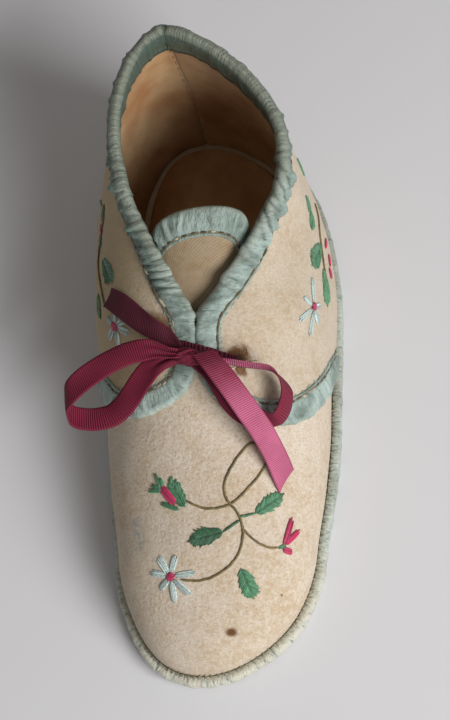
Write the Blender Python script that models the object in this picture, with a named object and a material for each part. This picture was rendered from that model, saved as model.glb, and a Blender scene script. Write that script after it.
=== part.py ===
"""Infant's soft tie shoe for the left foot: flannel upper, ribbon-bound edges and a ribbon bow.

Run with blender --background --python part.py, or from Blender's text editor.
The toe points to -Y, the foot's outer side is +X and the floor is Z = 0. Tables and sizes are in
millimetres, and MM turns them into metres.
"""

import math
from collections import namedtuple

import bmesh
import bpy
import numpy as np
from mathutils import Matrix, Vector

MM = 0.001

# Driving dimensions of the last
SOLE_LENGTH = 126.8
TOE_END = -SOLE_LENGTH / 2
HEEL_END = SOLE_LENGTH / 2
TOE_ROUND_Y = -37.0
HEEL_ROUND_Y = 39.0
TOE_REACH = TOE_ROUND_Y - TOE_END
HEEL_REACH = HEEL_END - HEEL_ROUND_Y
FIRST = TOE_ROUND_Y - TOE_REACH * math.pi / 2
LAST = HEEL_ROUND_Y + HEEL_REACH * math.pi / 2
TOE_SPRING = 1.2
TOE_SPRING_Y = -40.0

# The middle of the shoe's box on plan, without the bow, which is put at the origin
BOX_MIDDLE = (-0.68, 0.4)

# Thicknesses and clearances
GAP = 0.3
SOLE_TOP = 3.0
INSOLE = 1.0
WALL = 1.5
LAP_STEP = 1.2
LAP_STEP_AT_SOLE = 0.25
TONGUE = 1.1
RIBBON = 0.45
FEATHER = SOLE_TOP + GAP

# The ledge of the sole that shows outside the upper, and the ribbons that bind the edges
LEDGE = 2.2
SOLE_LIP = 1.55
SOLE_UNDERLIP = 2.2
COLLAR_BAND = 4.2
LAP_BAND = 4.0
TONGUE_BAND = 4.2
COLLAR_SET = 2.2
COLLAR_POINT = 1.45

# The front opening: its lower end, how far back it becomes the collar, and the tongue in it
V_BOTTOM = 3.0
V_END = 31.0
V_HALF_AT_BOTTOM = 0.95
TONGUE_ROOT = -11.0
TONGUE_TIP = 22.8
TONGUE_CORNER_DROP = 5.2
TONGUE_HALF_AT_ROOT = 10.0
TONGUE_UNDERLAP = 3.5
TONGUE_ARCH = 0.27

# The tie ribbon, and the slots that it goes through by their place along and down the wall
Slot = namedtuple("Slot", "u down")
TIE_WIDTH = 4.8
SLOT_LENGTH = 5.8
SLOT_WIDTH = 1.7
SLOT_OUTER = Slot(-2.2, 0.19)
SLOT_INNER = Slot(0.6, 0.14)
BAR_CREST = -2.0
KNOT_PLACE = (-1.05, -4.45, 42.8)
KNOT_HALF_SIZE = (2.3, 2.5, 2.0)

# The bow's straps: the middle of the ribbon and the way across it, from the knot outwards
Fold = namedtuple("Fold", "x y z across_x across_y across_z")
LOOP_LEFT = (
    Fold(-4.4, -3.3, 44.2, 0.46, -0.89, -0.08),
    Fold(-10.8, -2.9, 44.0, 0.40, -0.92, -0.05),
    Fold(-18.6, -5.8, 42.3, 0.45, -0.89, -0.05),
    Fold(-25.0, -8.7, 40.9, 0.15, -0.98, -0.08),
    Fold(-26.6, -9.8, 39.3, -0.15, -0.98, -0.10),
    Fold(-26.2, -11.0, 37.7, -0.45, -0.88, -0.10),
    Fold(-24.2, -12.6, 36.7, -0.55, -0.83, -0.05),
    Fold(-20.6, -14.4, 36.0, -0.10, -0.99, 0.00),
    Fold(-15.6, -12.0, 36.4, 0.72, -0.69, 0.00),
    Fold(-12.2, -7.4, 38.4, 0.72, -0.69, 0.00),
    Fold(-8.1, -5.0, 41.4, 0.60, -0.80, -0.03),
    Fold(-4.4, -4.6, 42.9, 0.51, -0.86, -0.03),
)
LOOP_RIGHT = (
    Fold(1.55, -5.5, 43.2, -0.09, -0.08, -0.99),
    Fold(6.4, -5.6, 43.2, -0.09, -0.01, -1.00),
    Fold(10.9, -5.9, 40.3, -0.12, -0.03, -0.99),
    Fold(13.4, -6.0, 37.8, 0.18, 0.17, -0.97),
    Fold(15.2, -7.7, 34.6, 0.36, 0.15, -0.92),
    Fold(16.3, -10.1, 32.8, 0.41, 0.04, -0.91),
    Fold(15.5, -13.6, 32.6, 0.35, -0.04, -0.94),
    Fold(13.3, -16.0, 32.6, 0.29, -0.18, -0.94),
    Fold(10.5, -15.4, 33.1, -0.10, -0.65, -0.75),
    Fold(7.1, -13.9, 35.2, -0.50, -0.69, -0.53),
    Fold(1.5, -7.7, 40.8, -0.55, -0.69, -0.48),
)
END_LOWER = (
    Fold(2.45, -6.75, 43.9, 0.98, 0.12, -0.05),
    Fold(6.6, -11.6, 40.9, 0.98, 0.10, -0.12),
    Fold(9.1, -15.1, 38.3, 0.98, 0.15, -0.13),
    Fold(11.8, -18.9, 34.5, 0.95, 0.25, -0.13),
    Fold(13.7, -22.3, 28.3, 0.85, 0.50, -0.13),
    Fold(15.0, -25.6, 23.1, 0.80, 0.55, -0.20),
)
END_UPPER = (
    Fold(-5.5, -0.7, 42.8, -0.24, 0.95, 0.21),
    Fold(-7.6, 0.4, 42.9, -0.14, 0.94, 0.31),
    Fold(-12.0, 3.8, 41.5, 0.22, 0.93, 0.30),
    Fold(-16.7, 8.3, 39.4, 0.55, 0.70, 0.45),
    Fold(-19.6, 11.1, 36.6, 0.63, 0.50, 0.60),
)

# Sections of the last from toe to heel: the sole's centre line and half width, the height and
# place of the upper's top line (the crest, then the two edges of the opening), and how far each
# side swells past a straight wall.
Section = namedtuple("Section", "y mid half top_z top_mid top_half swell_in swell_out")
SECTIONS = (
    Section(-63.4, -4.8, 21.6, 19.0, -4.8, 0.0, 0.8, 0.8),
    Section(-50.0, -2.1, 21.8, 20.2, -2.6, 0.0, 1.9, 1.7),
    Section(-37.0, -1.3, 22.5, 23.6, -1.8, 0.0, 2.2, 1.9),
    Section(-22.0, -0.8, 24.4, 28.8, -1.3, 0.0, 2.3, 1.8),
    Section(-9.0, -0.4, 25.3, 34.6, -1.3, 0.0, 2.3, 1.4),
    Section(3.0, 0.1, 25.2, 40.4, -0.9, 0.75, 3.4, 0.9),
    Section(11.0, 0.6, 25.0, 43.0, -0.1, 5.5, 5.3, 0.7),
    Section(21.0, 1.1, 24.5, 46.0, 0.8, 11.5, 6.4, 0.9),
    Section(31.0, 1.0, 23.5, 48.3, 1.3, 15.7, 5.8, 0.8),
    Section(39.0, 0.5, 22.3, 49.9, 0.7, 16.5, 4.1, 0.2),
    Section(52.0, -1.4, 20.9, 52.9, -1.8, 15.9, 2.2, 0.0),
    Section(63.4, -4.2, 20.2, 55.2, -5.5, 15.9, 0.9, 0.9),
)

# The quarters' front edge: how far along the shoe it lies at each share of the way down the wall
Lap = namedtuple("Lap", "down outer_side inner_side")
LAPS = (
    Lap(0.00, -5.5, -5.5),
    Lap(0.07, -10.3, -9.6),
    Lap(0.16, -13.4, -11.6),
    Lap(0.30, -15.0, -12.6),
    Lap(0.45, -14.0, -10.8),
    Lap(0.60, -10.2, -5.8),
    Lap(0.80, -2.6, 1.0),
    Lap(1.00, 8.0, 9.0),
)
LAP_START = LAPS[0].outer_side
LAP_FADE_FRONT = -60.0
LAP_FADE_BACK = 34.0
LINING_RAMP = 14.0

OUTER = 1
INNER = -1


def smooth_curve(xs, values, x):
    """A smooth curve through a short table's points that never overshoots them."""
    xs = np.array(xs, float)
    values = np.array(values, float)
    step = np.diff(xs)
    slope = np.diff(values) / step
    tangent = np.concatenate(([slope[0]], np.zeros(len(slope) - 1), [slope[-1]]))
    for k in range(1, len(slope)):
        before, after = slope[k - 1], slope[k]
        if before * after > 0:
            weight_before = 2 * step[k] + step[k - 1]
            weight_after = step[k] + 2 * step[k - 1]
            whole = weight_before + weight_after
            tangent[k] = whole / (weight_before / before + weight_after / after)
    x = float(np.clip(x, xs[0], xs[-1]))
    k = int(np.clip(np.searchsorted(xs, x) - 1, 0, len(step) - 1))
    t = (x - xs[k]) / step[k]
    ends = (1 + 2 * t) * (1 - t) ** 2 * values[k] + t * t * (3 - 2 * t) * values[k + 1]
    bends = t * (1 - t) ** 2 * tangent[k] + t * t * (t - 1) * tangent[k + 1]
    return float(ends + step[k] * bends)


def ease(x, low, high):
    """0 up to low, 1 from high on, and a soft ramp between them."""
    t = min(max((x - low) / (high - low), 0.0), 1.0)
    return t * t * (3 - 2 * t)


def at_section(column, y):
    return smooth_curve([s.y for s in SECTIONS], [getattr(s, column) for s in SECTIONS], y)


def end_angle(u):
    """u runs along the shoe as y does, and on round the toe and heel ends by their angle."""
    if u < TOE_ROUND_Y:
        return (TOE_ROUND_Y - u) / TOE_REACH
    if u > HEEL_ROUND_Y:
        return (u - HEEL_ROUND_Y) / HEEL_REACH
    return 0.0


def along(u, inset=0.0):
    """The y of the outline at u, with the outline drawn in by inset."""
    if u < TOE_ROUND_Y:
        return TOE_ROUND_Y - (TOE_REACH - inset) * math.sin(end_angle(u))
    if u > HEEL_ROUND_Y:
        return HEEL_ROUND_Y + (HEEL_REACH - inset) * math.sin(end_angle(u))
    return u


def plan(side, u, inset=0.0):
    """A point of the sole's outline, drawn in by inset, as x and y."""
    y = along(u)
    half = (at_section("half", y) - inset) * math.cos(end_angle(u))
    return np.array([at_section("mid", y) + side * half, along(u, inset)])


def outward(side, u):
    """The way out from the outline at u, in plan."""
    step = plan(side, u + 0.05, LEDGE) - plan(side, u - 0.05, LEDGE)
    way = side * np.array([step[1], -step[0], 0.0])
    return way / np.linalg.norm(way)


def top_line(side, u):
    """The upper's top line: the crest in front, the edge of the opening behind."""
    y = along(u)
    set_in = COLLAR_SET if u > HEEL_ROUND_Y else LEDGE
    height = at_section("top_z", y)
    half = at_section("top_half", y)
    if u > V_BOTTOM - 0.5:
        half = max(half, V_HALF_AT_BOTTOM)
    else:
        half = 0.0
    if u < TOE_ROUND_Y:
        height = FEATHER + (height - FEATHER) * math.cos(end_angle(u))
    if u > HEEL_ROUND_Y:
        half *= math.cos(end_angle(u)) ** COLLAR_POINT
    return np.array([at_section("top_mid", y) + side * half, along(u, set_in), height])


def wall_curve(side, u):
    """One side of a section as points from the top line down to the sole, with their lengths."""
    foot = np.array([*plan(side, u, LEDGE), FEATHER])
    top = top_line(side, u)
    height = top[2] - foot[2]
    width = abs(foot[0] - top[0])
    upright = ease(u, V_BOTTOM, V_END)
    swell = at_section("swell_out" if side > 0 else "swell_in", along(u)) * 4 / 3
    if u < TOE_ROUND_Y:
        swell *= math.cos(end_angle(u))
    out = outward(side, u)
    up = np.array([0.0, 0.0, 1.0])
    low = foot + out * swell + up * height * (0.6 - 0.24 * upright)
    arched = top + np.array([side * 0.6 * width, 0.0, 0.0]) + out * max(0.0, swell - 1.6) * 0.8
    standing = top + out * swell - up * height * 0.36
    high = arched * (1 - upright) + standing * upright
    t = np.linspace(1.0, 0.0, 41)[:, None]
    points = (1 - t) ** 3 * foot + 3 * t * (1 - t) ** 2 * low + 3 * t * t * (1 - t) * high + t**3 * top
    lengths = np.concatenate(([0.0], np.cumsum(np.linalg.norm(np.diff(points, axis=0), axis=1))))
    return points, lengths


CURVES = {}


def curve_of(side, u):
    key = (side, round(u, 5))
    if key not in CURVES:
        CURVES[key] = wall_curve(side, u)
    return CURVES[key]


def wall(side, u, down):
    """A point of the vamp's outer face: down is the share of the way from top line to sole."""
    if down < 0:
        side, down = -side, -down
    points, lengths = curve_of(side, u)
    return np.array([np.interp(down * lengths[-1], lengths, points[:, k]) for k in range(3)])


def wall_length(side, u):
    return curve_of(side, u)[1][-1]


def facing(side, u, down):
    """The outward direction of the wall."""
    if u - FIRST < 0.5:
        return np.array([0.0, -1.0, 0.0])
    low = down - 0.01
    if u > V_BOTTOM - 0.5:
        low = max(low, 0.0)
    across = wall(side, u, min(down + 0.01, 1.0)) - wall(side, u, low)
    forward = wall(side, u + 0.2, down) - wall(side, u - 0.2, down)
    way = side * np.cross(across, forward)
    return way / np.linalg.norm(way)


def skin(side, u, down, offset):
    """A point at a distance outside the vamp's outer face, flat where the wall meets the sole."""
    point = wall(side, u, down) + facing(side, u, down) * offset
    if down > 0.999:
        point[2] = FEATHER
    return point


def lap_line(side, down):
    """Where along the shoe the quarter's front edge lies."""
    values = [row.outer_side if side > 0 else row.inner_side for row in LAPS]
    return smooth_curve([row.down for row in LAPS], values, down)


def sheared(side, u, down):
    """Leans the columns of the grid so that the one at LAP_START follows the lap."""
    fade = ease(u, LAP_FADE_FRONT, LAP_START) - ease(u, LAP_START, LAP_FADE_BACK)
    return u + (lap_line(side, down) - LAP_START) * fade


def lap_height(down):
    """The step of the quarter over the vamp, pressed flat where both are sewn to the sole."""
    return LAP_STEP + (LAP_STEP_AT_SOLE - LAP_STEP) * ease(down, 0.9, 1.0)


def inside(side, u, down):
    """The offset of the upper's inner face: it follows the quarter out behind the lap."""
    behind = u - lap_line(side, down)
    return lap_height(down) * ease(behind, 4.0, LINING_RAMP) - WALL


def rim_share(side, u, distance):
    return min(distance / wall_length(side, u), 1.0)


def grid(bm, columns, rows, place):
    """A grid of faces whose vertex in column i and row j is put at place(i, j), in millimetres."""
    verts = bmesh.ops.create_grid(bm, x_segments=columns, y_segments=rows, size=1.0)["verts"]
    for vert in verts:
        i = round((vert.co.x + 1) / 2 * columns)
        j = round((vert.co.y + 1) / 2 * rows)
        vert.co = Vector(place(i, j))
    return verts


def weld(bm):
    bmesh.ops.remove_doubles(bm, verts=bm.verts[:], dist=0.004)


def thicken(bm, move):
    """Closes a sheet into a solid: its copy's vertices go where move(vert) says."""
    sheet = bm.faces[:]
    made = bmesh.ops.extrude_face_region(bm, geom=sheet, use_keep_orig=True)["geom"]
    copies = [item for item in made if isinstance(item, bmesh.types.BMVert)]
    places = [Vector(move(vert)) for vert in copies]
    for vert, place in zip(copies, places):
        vert.co = place
    bmesh.ops.recalc_face_normals(bm, faces=bm.faces[:])


def sheet(columns, rows, front, back):
    """A solid between two faces: vertex (i, j) lies at front(i, j) and at back(i, j)."""
    bm = bmesh.new()
    spots = {}

    def place(i, j):
        point = Vector(front(i, j))
        spots[tuple(point)] = (i, j)
        return point

    grid(bm, columns, rows, place)
    thicken(bm, lambda vert: back(*spots[tuple(vert.co)]))
    return bm


def thicken_evenly(bm, thickness):
    """Thickens a sheet along its own normals, keeping the thickness at its bends."""
    bm.normal_update()
    shifts = {}
    for vert in bm.verts:
        shifts[tuple(vert.co)] = vert.normal * thickness * min(vert.calc_shell_factor(), 1.6)
    thicken(bm, lambda vert: vert.co + shifts[tuple(vert.co)])


def lift(y):
    """The toe spring: the sole and all on it rise towards the toe."""
    past = max(0.0, (TOE_SPRING_Y - y) / (TOE_SPRING_Y - TOE_END))
    return TOE_SPRING * past * past


def material(name, colour, roughness, sheen=0.0):
    made = bpy.data.materials.new(name)
    made.use_nodes = True
    shader = made.node_tree.nodes["Principled BSDF"]
    shader.inputs["Base Color"].default_value = (*colour, 1.0)
    shader.inputs["Roughness"].default_value = roughness
    shader.inputs["Metallic"].default_value = 0.0
    shader.inputs["Sheen Weight"].default_value = sheen
    made.diffuse_color = (*colour, 1.0)
    return made


def finish(name, bm, look, smooth=True):
    """Turns a bmesh in millimetres into a named object in metres, with the toe spring on it."""
    for vert in bm.verts:
        vert.co.z += lift(vert.co.y)
    bmesh.ops.translate(bm, vec=Vector((-BOX_MIDDLE[0], -BOX_MIDDLE[1], 0.0)), verts=bm.verts[:])
    bmesh.ops.transform(bm, matrix=Matrix.Scale(MM, 4), verts=bm.verts[:])
    mesh = bpy.data.meshes.new(name)
    bm.to_mesh(mesh)
    bm.free()
    mesh.materials.append(look)
    obj = bpy.data.objects.new(name, mesh)
    bpy.context.scene.collection.objects.link(obj)
    if smooth:
        mesh.shade_smooth()
        mesh.set_sharp_from_angle(angle=math.radians(40))
    return obj


def end_spaced(round_count, straight_count):
    """Places along the shoe, close together round its ends."""
    toe = [FIRST + (TOE_ROUND_Y - FIRST) * k / round_count for k in range(round_count)]
    span = HEEL_ROUND_Y - TOE_ROUND_Y
    middle = [TOE_ROUND_Y + span * k / straight_count for k in range(straight_count)]
    heel = [HEEL_ROUND_Y + (LAST - HEEL_ROUND_Y) * k / round_count for k in range(round_count + 1)]
    return toe + middle + heel


def outline_stops(round_count, straight_count):
    """The sole's outline as side and u: from the toe up the outer side and back down the inner."""
    places = end_spaced(round_count, straight_count)
    return [(OUTER, u) for u in places[:-1]] + [(INNER, u) for u in reversed(places[1:])]


def ring(section, stops):
    """A closed band round the sole's outline: section rows are inset and height."""
    bm = bmesh.new()

    def place(i, j):
        side, u = stops[i % len(stops)]
        inset, height = section[j % len(section)]
        return (*plan(side, u, inset), height)

    grid(bm, len(stops), len(section), place)
    weld(bm)
    bmesh.ops.recalc_face_normals(bm, faces=bm.faces[:])
    return bm


def plate(section, places):
    """A plate of the sole's outline: section rows are inset and height, up one edge."""
    bm = bmesh.new()
    loop = [(OUTER, *row) for row in section] + [(INNER, *row) for row in reversed(section)]

    def place(i, j):
        side, inset, height = loop[j % len(loop)]
        return (*plan(side, places[i], inset), height)

    grid(bm, len(places) - 1, len(loop), place)
    weld(bm)
    bmesh.ops.recalc_face_normals(bm, faces=bm.faces[:])
    return bm


def build_sole():
    edge = RIBBON + GAP
    rebate = SOLE_UNDERLIP + GAP
    section = ((rebate, 0.0), (rebate, edge), (edge, edge), (edge, SOLE_TOP))
    return plate(section, end_spaced(9, 16))


def build_insole():
    inset = LEDGE + WALL + 1.0
    section = ((inset, FEATHER), (inset, FEATHER + INSOLE))
    return plate(section, end_spaced(8, 14))


def build_sole_binding():
    top = SOLE_TOP + GAP + RIBBON
    section = (
        (SOLE_UNDERLIP, 0.0),
        (0.35, 0.0),
        (0.0, 0.5),
        (0.0, top - 0.5),
        (0.35, top),
        (SOLE_LIP, top),
        (SOLE_LIP, top - RIBBON),
        (RIBBON, top - RIBBON),
        (RIBBON, RIBBON),
        (SOLE_UNDERLIP, RIBBON),
    )
    return ring(section, outline_stops(9, 16))


def upper_columns():
    """Columns of the upper's grid from toe to heel, with one on the lap and one at the V."""
    toe = [FIRST + (TOE_ROUND_Y - FIRST) * k / 9 for k in range(9)]
    vamp = [TOE_ROUND_Y + (LAP_START - TOE_ROUND_Y) * k / 8 for k in range(8)]
    closed = [LAP_START, -1.5, V_BOTTOM - 1.0]
    opening = [V_BOTTOM + (HEEL_ROUND_Y - V_BOTTOM) * k / 10 for k in range(10)]
    heel = [HEEL_ROUND_Y + (LAST - HEEL_ROUND_Y) * k / 9 for k in range(10)]
    return toe + vamp + closed + opening + heel


UPPER_ROWS = (0.0, 0.05, 0.12, 0.21, 0.31, 0.42, 0.53, 0.64, 0.75, 0.86, 0.94, 1.0)


def build_upper():
    """The hollow shell of vamp and quarters, open at the collar, the V and underneath."""
    bm = bmesh.new()
    columns = upper_columns()
    lap_column = columns.index(LAP_START)
    side_of = bm.verts.layers.float.new("side")
    place_of = bm.verts.layers.float.new("place")
    down_of = bm.verts.layers.float.new("down")
    quarter_of = bm.faces.layers.int.new("quarter")

    for side in (OUTER, INNER):
        known = set(bm.verts)
        spots = {}

        def place(i, j, side=side, spots=spots):
            down = UPPER_ROWS[j]
            u = sheared(side, columns[i], down)
            point = Vector(skin(side, u, down, 0.0))
            spots[tuple(point)] = (i, u, down)
            return point

        grid(bm, len(columns) - 1, len(UPPER_ROWS) - 1, place)
        index = {}
        for vert in bm.verts:
            if vert not in known:
                i, u, down = spots[tuple(vert.co)]
                index[vert] = i
                vert[side_of], vert[place_of], vert[down_of] = side, u, down
        for face in bm.faces:
            if all(vert in index for vert in face.verts):
                face[quarter_of] = int(min(index[vert] for vert in face.verts) >= lap_column)
    weld(bm)
    bmesh.ops.recalc_face_normals(bm, faces=bm.faces[:])

    def moved(vert, offset):
        side, u, down = int(vert[side_of]), vert[place_of], vert[down_of]
        return skin(side, u, down, offset(side, u, down))

    outer_faces = set(bm.faces)
    thicken(bm, lambda vert: moved(vert, inside))
    outer_quarter = [face for face in bm.faces if face in outer_faces and face[quarter_of]]
    made = bmesh.ops.extrude_face_region(bm, geom=outer_quarter)["geom"]
    raised = [item for item in made if isinstance(item, bmesh.types.BMVert)]
    for vert in raised:
        vert.co = Vector(moved(vert, lambda side, u, down: lap_height(down)))
    bmesh.ops.delete(bm, geom=outer_quarter, context="FACES")
    bmesh.ops.recalc_face_normals(bm, faces=bm.faces[:])
    return bm


def rim_direction(side, u):
    """Up and out of the wall at its top edge."""
    way = wall(side, u, 0.0) - wall(side, u, 0.03)
    return way / np.linalg.norm(way)


def build_collar_binding():
    """The ribbon folded over the collar and both edges of the V, from one end of the V round."""
    bm = bmesh.new()
    start = V_BOTTOM + 0.4
    opening = [start + (HEEL_ROUND_Y - start) * k / 12 for k in range(12)]
    heel = [HEEL_ROUND_Y + (LAST - HEEL_ROUND_Y) * k / 9 for k in range(10)]
    side_run = opening + heel
    stops = [(OUTER, u) for u in side_run] + [(INNER, u) for u in reversed(side_run[:-1])]
    depths = (COLLAR_BAND, COLLAR_BAND / 2, 0.15)

    def place(i, j):
        side, u = stops[i]
        if j < 3:
            down = rim_share(side, u, depths[j])
            return skin(side, u, down, LAP_STEP + GAP)
        if j > 3:
            down = rim_share(side, u, depths[6 - j])
            return skin(side, u, down, inside(side, u, down) - GAP)
        middle = (LAP_STEP + inside(side, u, 0.0)) / 2
        return skin(side, u, 0.0, middle) + rim_direction(side, u) * (GAP + 0.25)

    grid(bm, len(stops) - 1, 6, place)
    bm.normal_update()
    if sum(face.normal.z for face in bm.faces) < 0:
        bmesh.ops.reverse_faces(bm, faces=bm.faces[:])
    thicken_evenly(bm, RIBBON)
    return bm


def lap_edge(side):
    """The bound edge of a quarter in u and length from the top line: the slit, then the lap."""
    slit = [(V_BOTTOM + (LAP_START - V_BOTTOM) * k / 4, 0.25) for k in range(4)]
    lap = []
    for k in range(17):
        down = 0.03 + 0.93 * k / 16
        u = lap_line(side, down) + 0.15
        lap.append((u, down * wall_length(side, u)))
    return np.array(slit + lap)


def build_lap_binding(side):
    """The flat ribbon along the front edge of a quarter."""
    bm = bmesh.new()
    edge = lap_edge(side)
    run = np.gradient(edge, axis=0)
    run /= np.linalg.norm(run, axis=1)[:, None]
    inward = np.stack((run[:, 1], -run[:, 0]), axis=1)
    rows = 3

    def place(i, j):
        u, length = edge[i] + inward[i] * LAP_BAND * j / rows
        down = min(max(length, 0.25) / wall_length(side, u), 0.97)
        return skin(side, u, down, lap_height(down) + GAP)

    grid(bm, len(edge) - 1, rows, place)
    bm.normal_update()
    if sum(face.normal.z for face in bm.faces) < 0:
        bmesh.ops.reverse_faces(bm, faces=bm.faces[:])
    thicken_evenly(bm, RIBBON)
    return bm


def tongue_drop(u):
    """How far the tongue lies inside the upper: sewn to it at the root, clear of its bindings above."""
    return GAP + 0.05 + 0.8 * ease(u, -8.0, -3.0) + 0.85 * ease(u, -1.0, 5.0)


def tongue_face(u, across):
    """The tongue's outer face: across is the length from its middle, under the flaps at its sides."""
    drop = tongue_drop(u)
    ends = [skin(side, u, 0.0, inside(side, u, 0.0) - drop) for side in (INNER, OUTER)]
    half = np.linalg.norm(ends[1] - ends[0]) / 2 if u > V_BOTTOM - 0.5 else 0.0
    if abs(across) >= half:
        side = OUTER if across > 0 else INNER
        down = rim_share(side, u, abs(across) - half)
        return skin(side, u, down, inside(side, u, down) - drop)
    handles = [rim_direction(side, u) * half * 2 * TONGUE_ARCH for side in (INNER, OUTER)]
    t = (across / half + 1) / 2
    first, last = ends
    near, far = first + handles[0], last + handles[1]
    return (1 - t) ** 3 * first + 3 * t * (1 - t) ** 2 * near + 3 * t * t * (1 - t) * far + t**3 * last


def tongue_half(u):
    if u < V_BOTTOM - 0.5:
        return TONGUE_HALF_AT_ROOT
    gap = np.linalg.norm(top_line(OUTER, u) - top_line(INNER, u)) / 2
    return max(TONGUE_HALF_AT_ROOT, gap + TONGUE_UNDERLAP)


def tongue_at(share, depth):
    """A point of the tongue by its share of the half width and its depth below the top edge."""
    u = max(TONGUE_TIP - TONGUE_CORNER_DROP * share * share - depth, TONGUE_ROOT)
    return tongue_face(u, share * tongue_half(u))


def tongue_skin(share, depth, offset):
    """A point at a distance outside the tongue's outer face."""
    across = tongue_at(share + 0.04, depth) - tongue_at(share - 0.04, depth)
    upwards = tongue_at(share, depth - 0.3) - tongue_at(share, depth + 0.3)
    way = np.cross(across, upwards)
    return tongue_at(share, depth) + way / np.linalg.norm(way) * offset


TONGUE_COLUMNS = 14
TONGUE_DEPTHS = (0.0, 2.1, 4.2, 6.6, 9.5, 12.7, 16.2, 20.0, 24.0)


def tongue_share(i):
    return i / TONGUE_COLUMNS * 2 - 1


def build_tongue():
    def face(offset):
        return lambda i, j: tongue_skin(tongue_share(i), TONGUE_DEPTHS[j], offset)

    return sheet(TONGUE_COLUMNS, len(TONGUE_DEPTHS) - 1, face(0.0), face(-TONGUE))


def build_tongue_binding():
    """The ribbon folded over the tongue's top edge."""
    depths = (TONGUE_BAND, TONGUE_BAND / 2, 0.1, -GAP, 0.1, TONGUE_BAND / 2, TONGUE_BAND)
    inner = (GAP, GAP, GAP, -TONGUE / 2, -TONGUE - GAP, -TONGUE - GAP, -TONGUE - GAP)
    outer = [inner[j] + RIBBON * (1 if j < 3 else -1) for j in range(7)]
    outer[3] = inner[3]

    def fold(offsets, rise):
        def place(i, j):
            depth = depths[j] - (rise if 2 <= j <= 4 else 0.0)
            return tongue_skin(tongue_share(i) * 0.99, depth, offsets[j])

        return place

    return sheet(TONGUE_COLUMNS, 6, fold(inner, 0.0), fold(outer, RIBBON))


def bar_skin(share, reach, offset):
    """A point near the tie's bar: share runs from the inner slot to the outer, reach across it."""
    side = OUTER if share > 0 else INNER
    slot = SLOT_OUTER if share > 0 else SLOT_INNER
    u = BAR_CREST + (slot.u - BAR_CREST) * abs(share) + reach
    down = slot.down * abs(share)
    if u > V_BOTTOM - 0.5:
        down = max(down - V_HALF_AT_BOTTOM / wall_length(side, u), 0.0)
    return skin(side, u, down, offset)


def build_ribbon_bar():
    """The tie ribbon across the closed flaps, with both ends down through their slots."""
    clear = LAP_STEP + GAP + RIBBON + GAP
    rows = [(-1.0, -WALL), (-1.0, 0.6), (-0.94, 1.6), (-0.8, clear)]
    rows += [(-0.53, clear), (-0.27, clear), (0.0, clear), (0.27, clear), (0.53, clear)]
    rows += [(0.8, clear), (0.94, 1.6), (1.0, 0.6), (1.0, -WALL)]
    bm = bmesh.new()

    def place(i, j):
        share, offset = rows[i]
        return bar_skin(share, TIE_WIDTH * (j / 2 - 0.5), offset)

    grid(bm, len(rows) - 1, 2, place)
    bm.normal_update()
    if sum(face.normal.z for face in bm.faces) < 0:
        bmesh.ops.reverse_faces(bm, faces=bm.faces[:])
    thicken_evenly(bm, RIBBON)
    return bm


def build_slot_cutter(share):
    """A block through the wall where the tie ribbon goes in."""
    bm = bmesh.new()
    slot = SLOT_OUTER if share > 0 else SLOT_INNER
    side = OUTER if share > 0 else INNER
    half_width = SLOT_WIDTH / 2 / (slot.down * wall_length(side, slot.u))
    for vert in bmesh.ops.create_cube(bm, size=2.0)["verts"]:
        across, reach, height = vert.co
        vert.co = Vector(bar_skin(share + across * half_width, reach * SLOT_LENGTH / 2, height * 4.0))
    bmesh.ops.recalc_face_normals(bm, faces=bm.faces[:])
    return bm


def build_strap(rows, columns):
    """A flat piece of the tie ribbon along a smooth curve through its folds."""
    bm = bmesh.new()
    centres = np.array([row[:3] for row in rows])
    run = np.concatenate(([0.0], np.cumsum(np.linalg.norm(np.diff(centres, axis=0), axis=1))))

    def place(i, j):
        reached = run[-1] * i / columns
        x, y, z, *across = [smooth_curve(run, [row[k] for row in rows], reached) for k in range(6)]
        across = np.array(across) / np.linalg.norm(across)
        return np.array([x, y, z]) + across * TIE_WIDTH * (j - 0.5)

    grid(bm, columns, 1, place)
    thicken_evenly(bm, RIBBON)
    return bm


def build_knot():
    """The tight wrap in the middle of the bow, a flattened bead."""
    bm = bmesh.new()
    bmesh.ops.create_uvsphere(bm, u_segments=14, v_segments=8, radius=1.0)
    bmesh.ops.scale(bm, vec=Vector(KNOT_HALF_SIZE), verts=bm.verts[:])
    bmesh.ops.translate(bm, vec=Vector(KNOT_PLACE), verts=bm.verts[:])
    return bm


# Colours and roughness of each cloth, from the photograph
LOOKS = {
    "sole": ((0.62, 0.55, 0.43), 0.9, 0.2),
    "sole_binding": ((0.60, 0.66, 0.58), 0.45, 0.3),
    "insole": ((0.66, 0.58, 0.44), 0.8, 0.1),
    "upper": ((0.71, 0.60, 0.44), 0.95, 0.4),
    "tongue": ((0.66, 0.55, 0.38), 0.95, 0.4),
    "tongue_binding": ((0.52, 0.60, 0.53), 0.45, 0.3),
    "collar_binding": ((0.52, 0.60, 0.53), 0.45, 0.3),
    "lap_binding_left": ((0.55, 0.62, 0.55), 0.45, 0.3),
    "lap_binding_right": ((0.55, 0.62, 0.55), 0.45, 0.3),
    "ribbon_bar": ((0.20, 0.03, 0.08), 0.5, 0.3),
    "ribbon_knot": ((0.25, 0.04, 0.10), 0.5, 0.3),
    "ribbon_loop_left": ((0.30, 0.05, 0.13), 0.5, 0.3),
    "ribbon_loop_right": ((0.30, 0.05, 0.13), 0.5, 0.3),
    "ribbon_end_lower": ((0.56, 0.15, 0.28), 0.5, 0.3),
    "ribbon_end_upper": ((0.16, 0.03, 0.07), 0.5, 0.3),
}


def look_of(name):
    colour, roughness, sheen = LOOKS[name]
    return material(name + "_cloth", colour, roughness, sheen)


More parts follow.
